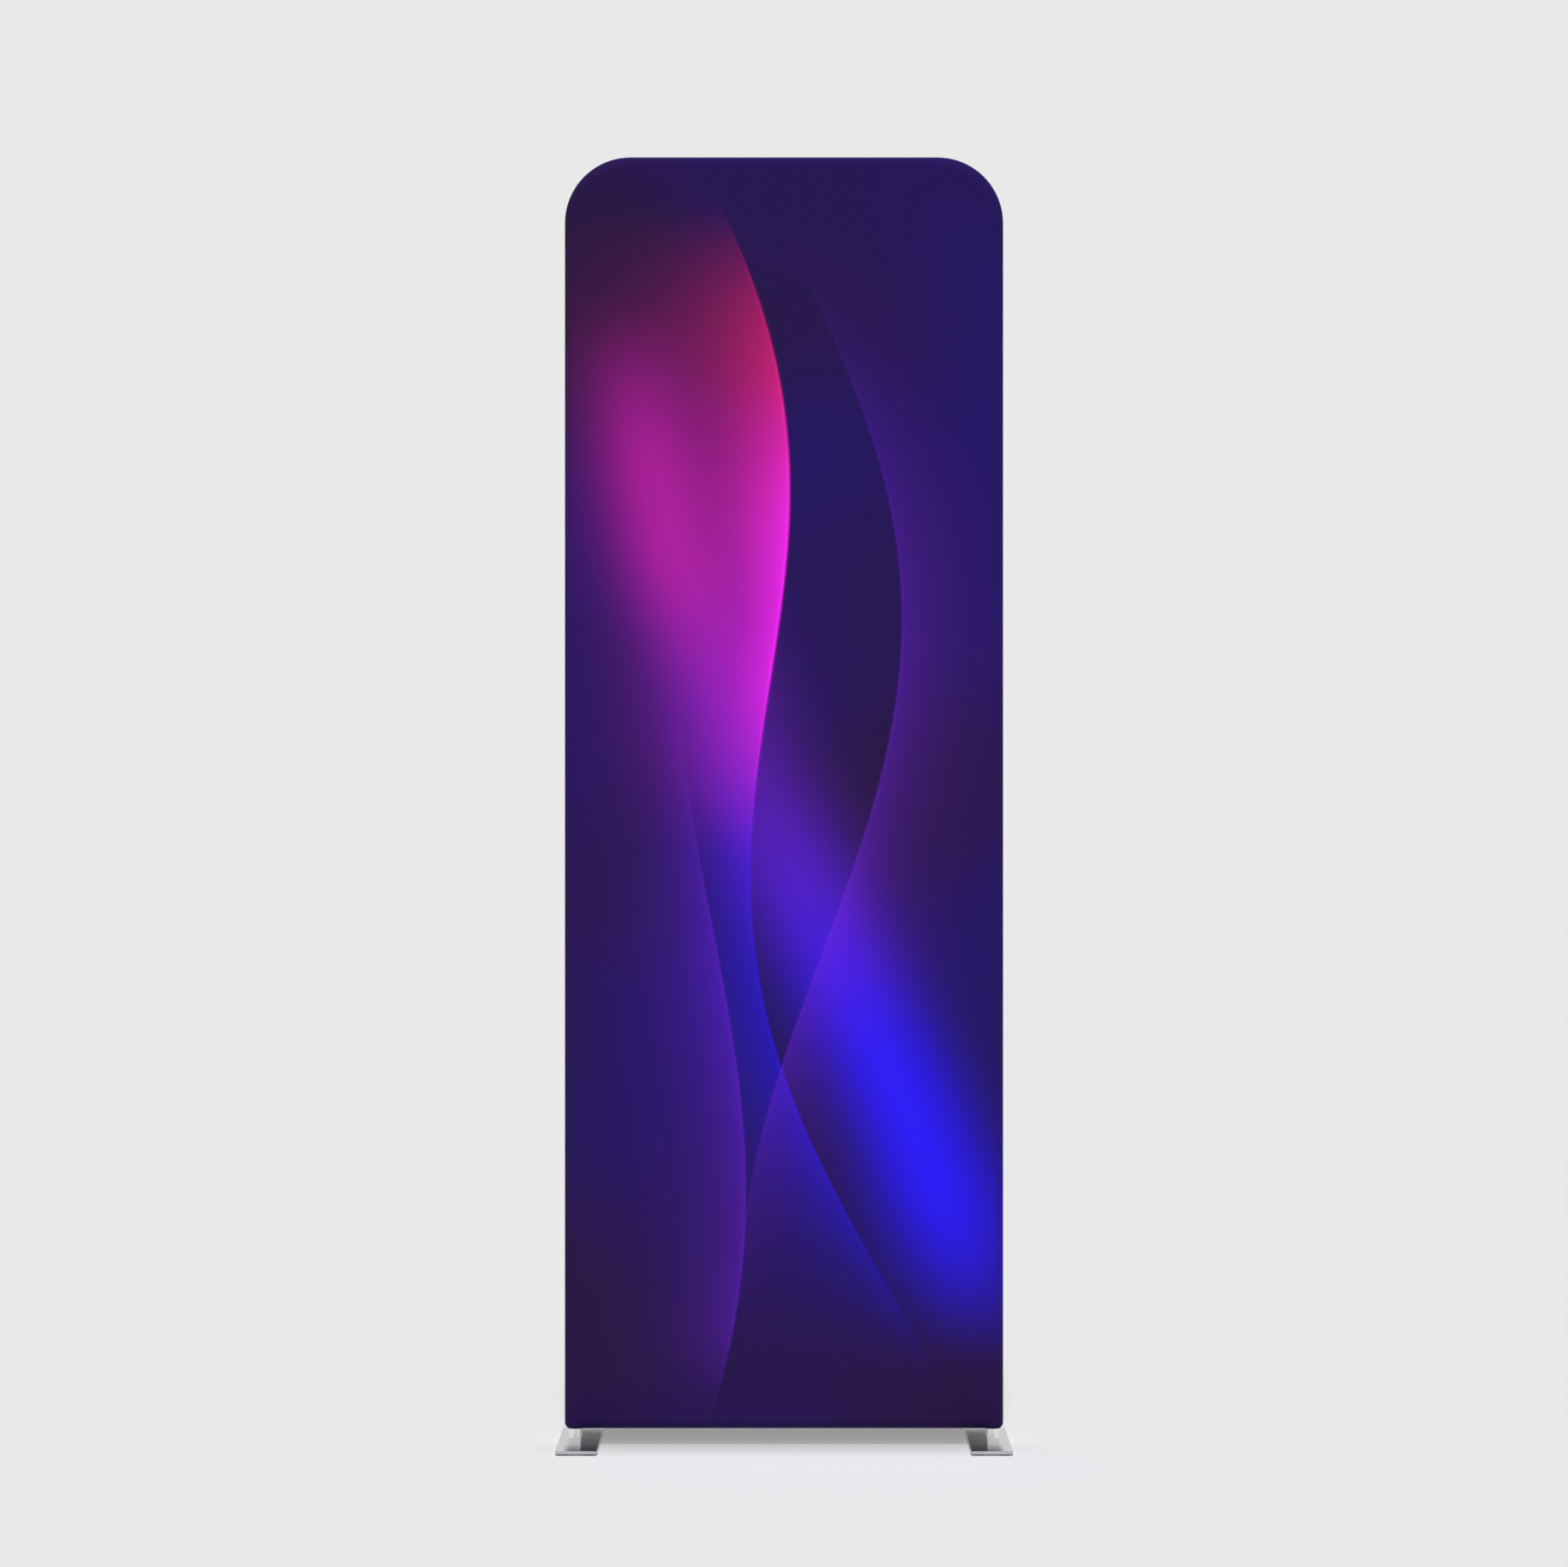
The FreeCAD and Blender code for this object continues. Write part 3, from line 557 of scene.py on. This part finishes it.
class CoverShape:
    """Outline, rim and face of the stretched cover, worked out from the frame."""

    corner_steps = 10
    side_steps = 58
    middle_steps = 20
    hole_steps = 16
    rim_angles = (2.9, 6, 10, 16, 24, 33, 43, 54, 66, 78, 90)
    crease = 0.004
    crease_reach = 0.012
    held_by = ("left_corner_tube", "right_corner_tube", "bottom_bar")

    def __init__(self, settings):
        low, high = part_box("cover_front")
        post_low, post_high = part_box("right_foot_post")
        self.settings = settings
        self.half_width = high.x
        self.bottom = low.z
        self.top = high.z
        self.rim = -low.y
        self.post_x = (post_low.x + post_high.x) / 2
        self.hole = (post_high.x - post_low.x) / 2 + settings.post_gap
        self.bar_z = self.bottom + self.rim
        self.bend_x = self.post_x - settings.corner_bend
        self.bend_z = self.top - self.rim - settings.corner_bend
        self.lower_x = self.half_width - settings.lower_round
        reach = self.hole + settings.hole_lip - (self.lower_x - self.post_x)
        self.lower_angle = -math.degrees(math.acos(reach / settings.lower_round))
        self.tube_end = self.bottom + math.sqrt(settings.lower_round ** 2 - reach ** 2)

    def foot_radius(self, z):
        """Radius of the rounded foot of an upright at a height, with the cloth on it."""
        if z >= self.tube_end:
            return self.rim
        drop = min(self.tube_end - z, self.settings.lower_round)
        return self.lower_x - self.post_x + math.sqrt(self.settings.lower_round ** 2 - drop ** 2)

    def depth(self, x, z):
        """How far the cloth stands off the middle plane at a point of the wall."""
        side = abs(x)
        if z < self.bar_z:
            foot = self.foot_radius(z) ** 2 - (side - self.post_x) ** 2
            hem = self.rim ** 2 - (self.bar_z - z) ** 2 if side <= self.post_x else 0.0
            return math.sqrt(max(foot, hem, 0.0))
        if side > self.bend_x and z > self.bend_z:
            beyond = math.hypot(side - self.bend_x, z - self.bend_z) - self.settings.corner_bend
        else:
            beyond = max(side - self.post_x, z - self.top + self.rim)
        return math.sqrt(max(self.rim ** 2 - max(beyond, 0.0) ** 2, 0.0))

    def closed_runs(self, right_foot, lower, upper):
        """Bottom, right, top and left runs between the middles of the corners, from the right half."""
        half = self.corner_steps
        left_foot = flipped(right_foot)
        middle = line(left_foot[-1], right_foot[0], self.middle_steps)
        bottom = chain_runs(flipped(lower)[half:], left_foot, middle, right_foot, lower[: half + 1])
        right = chain_runs(lower[half:], line(lower[-1], upper[0], self.side_steps), upper[: half + 1])
        top_steps = len(bottom) - 1 - 2 * half
        top_line = line(upper[-1], flipped(upper)[0], top_steps)
        top = chain_runs(upper[half:], top_line, flipped(upper)[: half + 1])
        return bottom, right, top, flipped(right)

    def outer_runs(self):
        """The runs of the seam line."""
        steps = 2 * self.corner_steps
        lower = arc((self.lower_x, self.tube_end), self.settings.lower_round, self.lower_angle, 0, steps)
        upper = arc((self.bend_x, self.bend_z), self.settings.corner_bend + self.rim, 0, 90, steps)
        hole = []
        for step in range(self.hole_steps + 1):
            turn = math.pi * step / self.hole_steps
            hole.append(Vector((self.post_x - self.hole * math.cos(turn), self.bottom)))
        right_foot = hole + [lower[0]]
        return self.closed_runs(right_foot, lower, upper)

    def inner_runs(self):
        """The runs where the rim meets the flat face, point for point beside the seam."""
        steps = 2 * self.corner_steps
        crease_x = self.post_x - self.crease
        crease_z = self.bar_z + self.crease
        lower = arc((crease_x, crease_z), self.crease, -90, 0, steps)
        upper = arc((self.bend_x, self.bend_z), self.settings.corner_bend, 0, 90, steps)
        right_foot = line((crease_x - self.crease_reach, self.bar_z), lower[0], self.hole_steps + 1)
        return self.closed_runs(right_foot, lower, upper)

    def rim_rings(self, outer, inner):
        """Rings of points from the seam groove to the edge of the flat face."""
        tuck = self.settings.seam_depth / self.rim
        seam = []
        for start, end in zip(outer, inner):
            off_post = abs(abs(start.x) - self.post_x)
            if start.y <= self.bottom and off_post <= self.hole:
                seam.append(Vector((start.x, math.sqrt(self.hole ** 2 - off_post ** 2), start.y)))
            else:
                tucked = start.lerp(end, tuck)
                seam.append(Vector((tucked.x, 0.0, tucked.y)))
        rings = [seam]
        for angle in self.rim_angles:
            share = 1 - math.cos(math.radians(angle))
            ring = []
            for start, end in zip(outer, inner):
                point = start.lerp(end, share)
                ring.append(Vector((point.x, self.depth(point.x, point.y), point.y)))
            rings.append(ring)
        return rings

    def face_grid(self, runs):
        """Points of the flat face, spread evenly between its four edges."""
        bottom, right, top, left = runs[0], runs[1], runs[2][::-1], runs[3][::-1]
        grid = []
        for j in range(len(right)):
            t = j / (len(right) - 1)
            row = []
            for i in range(len(bottom)):
                s = i / (len(bottom) - 1)
                edges = bottom[i] * (1 - t) + top[i] * t + left[j] * (1 - s) + right[j] * s
                low = bottom[0] * (1 - s) + bottom[-1] * s
                high = top[0] * (1 - s) + top[-1] * s
                point = edges - low * (1 - t) - high * t
                row.append(Vector((point.x, self.rim, point.y)))
            grid.append(row)
        return grid

    def sheet(self, side):
        """One sheet of the cover as a bmesh, in front for side -1 and behind for side 1."""
        outer_runs = self.outer_runs()
        inner_runs = self.inner_runs()
        outer = [point for run in outer_runs for point in run[:-1]]
        inner = [point for run in inner_runs for point in run[:-1]]
        shape = bmesh.new()

        def corner(point):
            return shape.verts.new((point.x, side * point.y, point.z))

        rings = [[corner(point) for point in ring] for ring in self.rim_rings(outer, inner)]
        count = len(outer)
        columns = len(inner_runs[0]) - 1
        rows = len(inner_runs[1]) - 1
        grid = []
        for j, row in enumerate(self.face_grid(inner_runs)):
            corners = []
            for i, point in enumerate(row):
                if j == 0:
                    corners.append(rings[-1][i])
                elif i == columns:
                    corners.append(rings[-1][columns + j])
                elif j == rows:
                    corners.append(rings[-1][2 * columns + rows - i])
                elif i == 0:
                    corners.append(rings[-1][2 * (columns + rows) - j])
                else:
                    corners.append(corner(point))
            grid.append(corners)
        quads = []
        for low, high in zip(rings, rings[1:]):
            for i in range(count):
                after = (i + 1) % count
                quads.append((low[i], low[after], high[after], high[i]))
        for low, high in zip(grid, grid[1:]):
            for i in range(columns):
                quads.append((low[i], low[i + 1], high[i + 1], high[i]))
        for quad in quads:
            shape.faces.new(quad if side < 0 else quad[::-1])
        return shape


def cloth_mesh(name, shape, thickness):
    """A cloth sheet with its thickness on the inside."""
    mesh = bpy.data.meshes.new(name)
    shape.to_mesh(mesh)
    shape.free()
    holder = bpy.data.objects.new(name + "_flat", mesh)
    bpy.context.scene.collection.objects.link(holder)
    solid = holder.modifiers.new("Cloth", "SOLIDIFY")
    solid.thickness = thickness
    solid.offset = -1.0
    graph = bpy.context.evaluated_depsgraph_get()
    thick = bpy.data.meshes.new_from_object(holder.evaluated_get(graph))
    thick.name = name
    bpy.data.objects.remove(holder)
    thick.polygons.foreach_set("use_smooth", [True] * len(thick.polygons))
    thick.set_sharp_from_angle(angle=math.radians(CLOTH_CREASE_ANGLE))
    return thick


def zip_opening(settings):
    """Edges of the opening in the back that shows the zip: left, right, bottom and top."""
    stop_low, stop_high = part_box("zip_stops")
    middle = (stop_low.z + stop_high.z) / 2
    end = stop_high.x + settings.slot_margin
    return -end, end, middle - settings.slot_height / 2, middle + settings.slot_height / 2


def cut_opening(shape, settings):
    """Cut the zip opening out of the back sheet."""
    left, right, low, high = zip_opening(settings)
    cuts = (
        (Vector((0, 0, low)), Vector((0, 0, 1))),
        (Vector((0, 0, high)), Vector((0, 0, 1))),
        (Vector((left, 0, 0)), Vector((1, 0, 0))),
        (Vector((right, 0, 0)), Vector((1, 0, 0))),
    )
    reach = 3 * settings.slot_height
    for place, direction in cuts:
        near = [face for face in shape.faces if low - reach < face.calc_center_median().z < high + reach]
        parts = near + list({edge for face in near for edge in face.edges})
        parts += list({corner for face in near for corner in face.verts})
        bmesh.ops.bisect_plane(shape, geom=parts, plane_co=place, plane_no=direction, dist=CUT_TOLERANCE)
    inside = []
    for face in shape.faces:
        centre = face.calc_center_median()
        if left < centre.x < right and low < centre.z < high:
            inside.append(face)
    bmesh.ops.delete(shape, geom=inside, context="FACES")


def extrude(shape, outline, start, end):
    """A closed bar along x with an outline of (y, z) points."""
    rings = []
    for x in (start, end):
        rings.append([shape.verts.new((x, y, z)) for y, z in outline])
    near, far = rings
    for index in range(len(outline)):
        after = (index + 1) % len(outline)
        shape.faces.new((near[index], near[after], far[after], far[index]))
    shape.faces.new(near)
    shape.faces.new(far)


def dress(nodes, material):
    """Give carried-over frame nodes their finish."""
    for name in nodes:
        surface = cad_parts[name].data
        surface.materials.clear()
        surface.materials.append(material)


class BACKDROP_OT_cover_front(bpy.types.Operator):
    """Stretch the printed front sheet over the frame"""

    bl_idname = "backdrop.cover_front"
    bl_label = "Cover front"

    def execute(self, context):
        settings = context.scene.backdrop_cover
        cover = CoverShape(settings)
        mesh = cloth_mesh("printed_cover", cover.sheet(-1), settings.cloth_thickness)
        piece = new_piece("printed_cover", mesh, printed_cloth(settings), "wall")
        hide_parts("cover_front")
        return {"FINISHED"}


class BACKDROP_OT_cover_back(bpy.types.Operator):
    """Stretch the plain back sheet, with its zip opening, over the frame"""

    bl_idname = "backdrop.cover_back"
    bl_label = "Cover back"

    def execute(self, context):
        settings = context.scene.backdrop_cover
        cover = CoverShape(settings)
        shape = cover.sheet(1)
        cut_opening(shape, settings)
        mesh = cloth_mesh("plain_cover", shape, settings.cloth_thickness)
        piece = new_piece("plain_cover", mesh, plain_cloth(settings), "wall")
        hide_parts("cover_back")
        return {"FINISHED"}


class BACKDROP_OT_zip_tapes(bpy.types.Operator):
    """Lay the two woven zip tapes behind the opening"""

    bl_idname = "backdrop.zip_tapes"
    bl_label = "Zip tapes"

    clearance = 0.00005

    def section(self, settings, low, high, side):
        """Outline (y, z) of a tape: flat where it is sewn, with its edge stepped in under the coil."""
        chain_low, chain_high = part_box("zip_chain")
        middle = (chain_low.z + chain_high.z) / 2
        near = (chain_high.z - chain_low.z) / 2 + self.clearance
        far = (high.z - low.z) + near
        top = chain_low.y - self.clearance
        bottom = top - settings.edge_thickness
        steps = (
            (bottom, settings.edge_gap),
            (bottom, near + settings.edge_thickness),
            (low.y, near + settings.edge_thickness),
            (low.y, far),
            (high.y, far),
            (high.y, near),
            (top, near),
            (top, settings.edge_gap),
        )
        return [(y, middle + side * z) for y, z in steps]

    def execute(self, context):
        settings = context.scene.backdrop_zip
        material = woven_tape(settings)
        for place, side in (("upper", 1), ("lower", -1)):
            node = "zip_" + place + "_tape"
            low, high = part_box(node)
            outline = self.section(settings, low, high, side)
            shape = bmesh.new()
            extrude(shape, outline, low.x, high.x)
            piece = new_piece(place + "_zip_tape", mesh_from(node, shape), material, "wall")
            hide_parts(node)
        return {"FINISHED"}


class BACKDROP_OT_zip_coil(bpy.types.Operator):
    """Coil the row of loops along each tape and the meshed heads that the slider parts"""

    bl_idname = "backdrop.zip_coil"
    bl_label = "Zip coil"

    tail = ((1.0, -0.2), (0.86, 0.8), (0.45, 1.0))
    head = ((0.45, 1.0), (0.2, 1.0), (-0.1, 0.9), (-0.38, 0.3), (-0.38, -0.6))

    def loops(self, shape, settings, side, shift, profile):
        """A row of loops from one tape, each along a profile of shares (z, y) of the chain's half size."""
        low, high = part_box("zip_chain")
        middle = (low + high) / 2
        half = (high - low) / 2 - Vector((settings.wire,) * 3)
        for index in range(int((high.x - low.x) / settings.tooth_pitch)):
            x = low.x + (index + shift) * settings.tooth_pitch
            path = [Vector((x, middle.y + y * half.y, middle.z + side * z * half.z)) for z, y in profile]
            sweep(shape, path, settings.wire)

    def execute(self, context):
        settings = context.scene.backdrop_zip
        nylon = coil_nylon(settings)
        meshed = bmesh.new()
        for place, side, shift in (("upper", 1, 0.25), ("lower", -1, 0.75)):
            row = bmesh.new()
            self.loops(row, settings, side, shift, self.tail)
            self.loops(meshed, settings, side, shift, self.head)
            name = place + "_zip_coil"
            new_piece(name, mesh_from(name, row), nylon, "wall")
        heads = new_piece("zip_coil_heads", mesh_from("zip_coil_heads", meshed), nylon, "wall")
        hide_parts("zip_chain")
        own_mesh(heads)
        return {"FINISHED"}


class BACKDROP_OT_zip_stitching(bpy.types.Operator):
    """Sew the rows of stitches round the zip opening and a bar tack at each end of it"""

    bl_idname = "backdrop.zip_stitching"
    bl_label = "Zip stitching"

    pass_spacing = 1.9
    pass_profile = ((-0.5, -0.5), (-0.35, 0.6), (0.35, 0.6), (0.5, -0.5))
    stitch_spacing = 1.2
    stitch_profile = ((0.1, -1.0), (0.22, 0.4), (0.78, 0.4), (0.9, -1.0))

    def bar_tack(self, shape, settings, x, z):
        """Close-set passes of thread that hold the two tapes together."""
        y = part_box("zip_upper_tape")[1].y
        passes = round(settings.tack_height / (self.pass_spacing * settings.thread))
        for index in range(passes):
            height = z + settings.tack_height * ((index + 0.5) / passes - 0.5)
            path = []
            for share, lift in self.pass_profile:
                path.append(Vector((x + share * settings.tack_width, y + lift * settings.thread, height)))
            sweep(shape, path, settings.thread)

    def execute(self, context):
        settings = context.scene.backdrop_zip
        left, right, low, high = zip_opening(context.scene.backdrop_cover)
        margin = settings.stitch_margin
        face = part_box("cover_back")[1].y
        shape = bmesh.new()
        corners = (
            Vector((left - margin, face, low - margin)),
            Vector((right + margin, face, low - margin)),
            Vector((right + margin, face, high + margin)),
            Vector((left - margin, face, high + margin)),
        )
        for start, end in zip(corners, corners[1:] + corners[:1]):
            count = max(1, round((end - start).length / (settings.stitch * self.stitch_spacing)))
            rise = Vector((0, settings.thread, 0))
            for index in range(count):
                path = []
                for share, lift in self.stitch_profile:
                    path.append(start.lerp(end, (index + share) / count) + rise * lift)
                sweep(shape, path, settings.thread)
        inset = context.scene.backdrop_cover.slot_margin / 2
        for x in (left + inset, right - inset):
            self.bar_tack(shape, settings, x, (low + high) / 2)
        mesh = mesh_from("zip_stitching", shape)
        new_piece("zip_stitching", mesh, sewing_thread(settings), "wall")
        return {"FINISHED"}


class BACKDROP_OT_zip_hardware(bpy.types.Operator):
    """Enamel the zip slider, its pull and the stops"""

    bl_idname = "backdrop.zip_hardware"
    bl_label = "Zip slider, pull and stops"

    def execute(self, context):
        material = enamel(context.scene.backdrop_zip)
        dress(("zip_slider", "zip_pull", "zip_stops"), material)
        return {"FINISHED"}


class BACKDROP_OT_feet(bpy.types.Operator):
    """Polish the foot plates and posts and mould the rubber pads"""

    bl_idname = "backdrop.feet"
    bl_label = "Swivel feet"

    def execute(self, context):
        settings = context.scene.backdrop_frame
        plate = drawn_metal("polished_plate", settings.plate, (700.0, 3.0, 700.0), (0.16, 0.26), 0.00003)
        # Post steel partly polished and partly a painted highlight, paler than the plate's steel
        post = drawn_metal("polished_post_painted_highlight", settings.post, (500.0, 500.0, 4.0), (0.1, 0.18), 0.00002)
        screw = drawn_metal("zinc_plate", settings.zinc, (300.0, 300.0, 300.0), (0.25, 0.42), 0.00003)
        rubber = moulded("pad_rubber", settings.rubber, (0.6, 0.85), 900.0)
        for side in SIDES:
            dress([side + "_foot_plate"], plate)
            dress([side + "_foot_post"], post)
            dress([side + "_foot_screw"], screw)
            dress([side + "_foot_pads"], rubber)
        return {"FINISHED"}


class BACKDROP_OT_tube_frame(bpy.types.Operator):
    """Finish the tubes of the frame"""

    bl_idname = "backdrop.tube_frame"
    bl_label = "Tube frame"

    def execute(self, context):
        settings = context.scene.backdrop_frame
        upright = drawn_metal("drawn_upright", settings.aluminium, (600.0, 600.0, 2.0), (0.28, 0.42), 0.00004)
        crossbar = drawn_metal("drawn_bar", settings.aluminium, (2.0, 600.0, 600.0), (0.28, 0.42), 0.00004)
        for side in SIDES:
            dress([side + part for part in ("_corner_tube", "_middle_tube", "_lower_tube")], upright)
        dress(["bottom_bar"], crossbar)
        return {"FINISHED"}


class BACKDROP_OT_slip_joints(bpy.types.Operator):
    """Finish the inserts, snap buttons and rivets of the slip joints"""

    bl_idname = "backdrop.slip_joints"
    bl_label = "Slip joints"

    def execute(self, context):
        settings = context.scene.backdrop_frame
        insert = drawn_metal("mill_insert", settings.insert, (400.0, 400.0, 3.0), (0.35, 0.5), 0.00004)
        chrome = drawn_metal("button_chrome", settings.chrome, (200.0, 200.0, 200.0), (0.06, 0.14), 0.00001)
        rivet = drawn_metal("bright_rivet", settings.rivet, (250.0, 250.0, 250.0), (0.22, 0.36), 0.00003)
        dress([name + "_joint_insert" for name in SLIP_JOINTS], insert)
        dress([name + "_snap_button" for name in BUTTON_JOINTS], chrome)
        dress(("joint_rivets", "bush_rivets"), rivet)
        return {"FINISHED"}


class BACKDROP_OT_leaf_springs(bpy.types.Operator):
    """Give each snap button its bent spring as a piece of its own"""

    bl_idname = "backdrop.leaf_springs"
    bl_label = "Leaf springs"

    def execute(self, context):
        settings = context.scene.backdrop_frame
        steel = drawn_metal("blued_spring", settings.spring, (900.0, 3.0, 900.0), (0.25, 0.4), 0.00002)
        for name in BUTTON_JOINTS:
            node = name + "_leaf_spring"
            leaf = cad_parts[node].data.copy()
            piece = new_piece(name + "_bent_spring", leaf, steel, "wall")
            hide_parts(node)
            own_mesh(piece)
        return {"FINISHED"}


class BACKDROP_OT_bushes(bpy.types.Operator):
    """Finish the nylon bushes that the foot posts turn in"""

    bl_idname = "backdrop.bushes"
    bl_label = "Bushes"

    def execute(self, context):
        nylon = moulded("bush_nylon", context.scene.backdrop_frame.nylon, (0.35, 0.55), 600.0)
        for side in SIDES:
            dress([side + "_end_bush", side + "_thrust_bush"], nylon)
        return {"FINISHED"}


def add_lamp(name, share, travel, width, fill=False):
    """A distant lamp with no highlight that gives a share of full light; a fill lamp leaves no shadow."""
    lamp = bpy.data.lights.new(name, "SUN")
    lamp.energy = share * math.pi
    lamp.angle = math.radians(width)
    lamp.use_shadow = not fill
    holder = bpy.data.objects.new(name, lamp)
    holder.visible_glossy = False
    holder.rotation_mode = "QUATERNION"
    holder.rotation_quaternion = Vector(travel).to_track_quat("-Z", "Y")
    bpy.context.scene.collection.objects.link(holder)


def slanted(elevation, toward):
    """Direction of light that falls at an elevation in degrees, towards +Y or -Y."""
    tilt = math.radians(elevation)
    return (0.0, toward * math.cos(tilt), -math.sin(tilt))


class BACKDROP_OT_stage(bpy.types.Operator):
    """Set up the floor, the soft light and the camera"""

    bl_idname = "backdrop.stage"
    bl_label = "Stage"

    floor_reach = 60.0
    card_half_width = 0.38
    card_behind = 0.25
    card_low = 0.02
    card_high = 0.3
    # Painted shade: dark glowing colour of the card, seen only as a reflection in the feet
    painted_reflection_shade = (0.09, 0.09, 0.09)
    front_elevations = range(8, 69, 4)
    front_width = 4
    overhead_elevation = 87.5
    overhead_width = 6
    rear_elevation = 5
    rear_width = 10

    def add_floor(self, settings):
        """A wide pale floor that keeps the shadow."""
        finish = Finish("pale_floor", roughness=1.0, specular_ior_level=0.0, base_color=tuple(settings.floor))
        shape = bmesh.new()
        bmesh.ops.create_grid(shape, x_segments=4, y_segments=4, size=self.floor_reach)
        mesh = bpy.data.meshes.new("floor")
        shape.to_mesh(mesh)
        shape.free()
        mesh.materials.append(finish.material)
        floor = bpy.data.objects.new("floor", mesh)
        bpy.context.scene.collection.objects.link(floor)

    def add_painted_reflection_card(self):
        """A dark card behind the wall that glows faintly and is seen only in gloss: a painted reflection of
        shade in the polished feet.
        """
        finish = Finish("painted_reflection_card", roughness=1.0, specular_ior_level=0.0, base_color=self.painted_reflection_shade)
        finish.set("Emission Color", self.painted_reflection_shade)
        finish.set("Emission Strength", 1.0)
        side = self.card_half_width
        shape = bmesh.new()
        corners = [shape.verts.new((x, self.card_behind, self.card_low)) for x in (-side, side)]
        corners += [shape.verts.new((x, self.card_behind, self.card_high)) for x in (side, -side)]
        shape.faces.new(corners)
        mesh = bpy.data.meshes.new("painted_reflection_card")
        shape.to_mesh(mesh)
        shape.free()
        mesh.materials.append(finish.material)
        card = bpy.data.objects.new("painted_reflection_card", mesh)
        card.visible_camera = False
        card.visible_diffuse = False
        card.visible_shadow = False
        bpy.context.scene.collection.objects.link(card)

    def add_sky(self, settings):
        """Even light all round, seen by the camera and in gloss as the pale backdrop."""
        world = bpy.data.worlds.new("studio")
        world.use_nodes = True
        nodes = world.node_tree.nodes
        links = world.node_tree.links
        nodes.clear()
        path = nodes.new("ShaderNodeLightPath")
        seen = path.outputs["Is Camera Ray"]
        for kind in ("Is Glossy Ray", "Is Transmission Ray"):
            either = nodes.new("ShaderNodeMath")
            either.operation = "MAXIMUM"
            links.new(seen, either.inputs[0])
            links.new(path.outputs[kind], either.inputs[1])
            seen = either.outputs[0]
        light = nodes.new("ShaderNodeBackground")
        light.inputs["Color"].default_value = (1.0, 1.0, 1.0, 1.0)
        light.inputs["Strength"].default_value = settings.sky
        backdrop = nodes.new("ShaderNodeBackground")
        backdrop.inputs["Color"].default_value = (*settings.floor, 1.0)
        choice = nodes.new("ShaderNodeMixShader")
        links.new(seen, choice.inputs[0])
        links.new(light.outputs[0], choice.inputs[1])
        links.new(backdrop.outputs[0], choice.inputs[2])
        links.new(choice.outputs[0], nodes.new("ShaderNodeOutputWorld").inputs["Surface"])
        bpy.context.scene.world = world

    def add_camera(self, settings):
        """A level camera in front of the middle of the wall."""
        eye = bpy.data.cameras.new("photo_view")
        eye.lens = settings.lens
        eye.sensor_width = 36.0
        eye.clip_end = 1000.0
        camera = bpy.data.objects.new("photo_view", eye)
        camera.location = (0.0, -settings.distance, settings.eye)
        camera.rotation_euler = (math.pi / 2, 0.0, 0.0)
        bpy.context.scene.collection.objects.link(camera)
        bpy.context.scene.camera = camera

    def execute(self, context):
        settings = context.scene.backdrop_stage
        self.add_floor(settings)
        # Painted reflection of shade in the polished feet
        self.add_painted_reflection_card()
        self.add_sky(settings)
        for elevation in self.front_elevations:
            share = settings.front * elevation / sum(self.front_elevations)
            add_lamp("front_lamp", share, slanted(elevation, 1), self.front_width)
        above = slanted(self.overhead_elevation, -1)
        add_lamp("overhead_lamp", settings.overhead, above, self.overhead_width)
        behind = slanted(self.rear_elevation, -1)
        add_lamp("rear_lamp", settings.rear, behind, self.rear_width, fill=True)
        self.add_camera(settings)
        context.scene.view_settings.view_transform = "Standard"
        return {"FINISHED"}


SETTINGS = {
    "backdrop_cover": CoverSettings,
    "backdrop_zip": ZipSettings,
    "backdrop_frame": FrameSettings,
    "backdrop_stage": StageSettings,
}
OPERATORS = (
    BACKDROP_OT_cover_front,
    BACKDROP_OT_cover_back,
    BACKDROP_OT_zip_tapes,
    BACKDROP_OT_zip_coil,
    BACKDROP_OT_zip_stitching,
    BACKDROP_OT_zip_hardware,
    BACKDROP_OT_feet,
    BACKDROP_OT_tube_frame,
    BACKDROP_OT_slip_joints,
    BACKDROP_OT_leaf_springs,
    BACKDROP_OT_bushes,
    BACKDROP_OT_stage,
)


class BACKDROP_PT_sidebar(bpy.types.Panel):
    """Settings and steps of the backdrop wall"""

    bl_idname = "BACKDROP_PT_sidebar"
    bl_label = "Tension Fabric Backdrop"
    bl_space_type = "VIEW_3D"
    bl_region_type = "UI"
    bl_category = "Backdrop"

    def draw(self, context):
        for operator in OPERATORS:
            self.layout.operator(operator.bl_idname)
        for name, group in SETTINGS.items():
            box = self.layout.box()
            for entry in group.__annotations__:
                box.prop(getattr(context.scene, name), entry)


def register():
    for name, group in SETTINGS.items():
        bpy.utils.register_class(group)
        setattr(bpy.types.Scene, name, bpy.props.PointerProperty(type=group))
    for operator in OPERATORS:
        bpy.utils.register_class(operator)
    bpy.utils.register_class(BACKDROP_PT_sidebar)


def unregister():
    bpy.utils.unregister_class(BACKDROP_PT_sidebar)
    for operator in reversed(OPERATORS):
        bpy.utils.unregister_class(operator)
    for name, group in SETTINGS.items():
        delattr(bpy.types.Scene, name)
        bpy.utils.unregister_class(group)


def main():
    """Dress the frame and set the stage."""
    register()
    for operator in OPERATORS:
        group, name = operator.bl_idname.split(".")
        getattr(getattr(bpy.ops, group), name)()


if __name__ == "__main__":
    main()
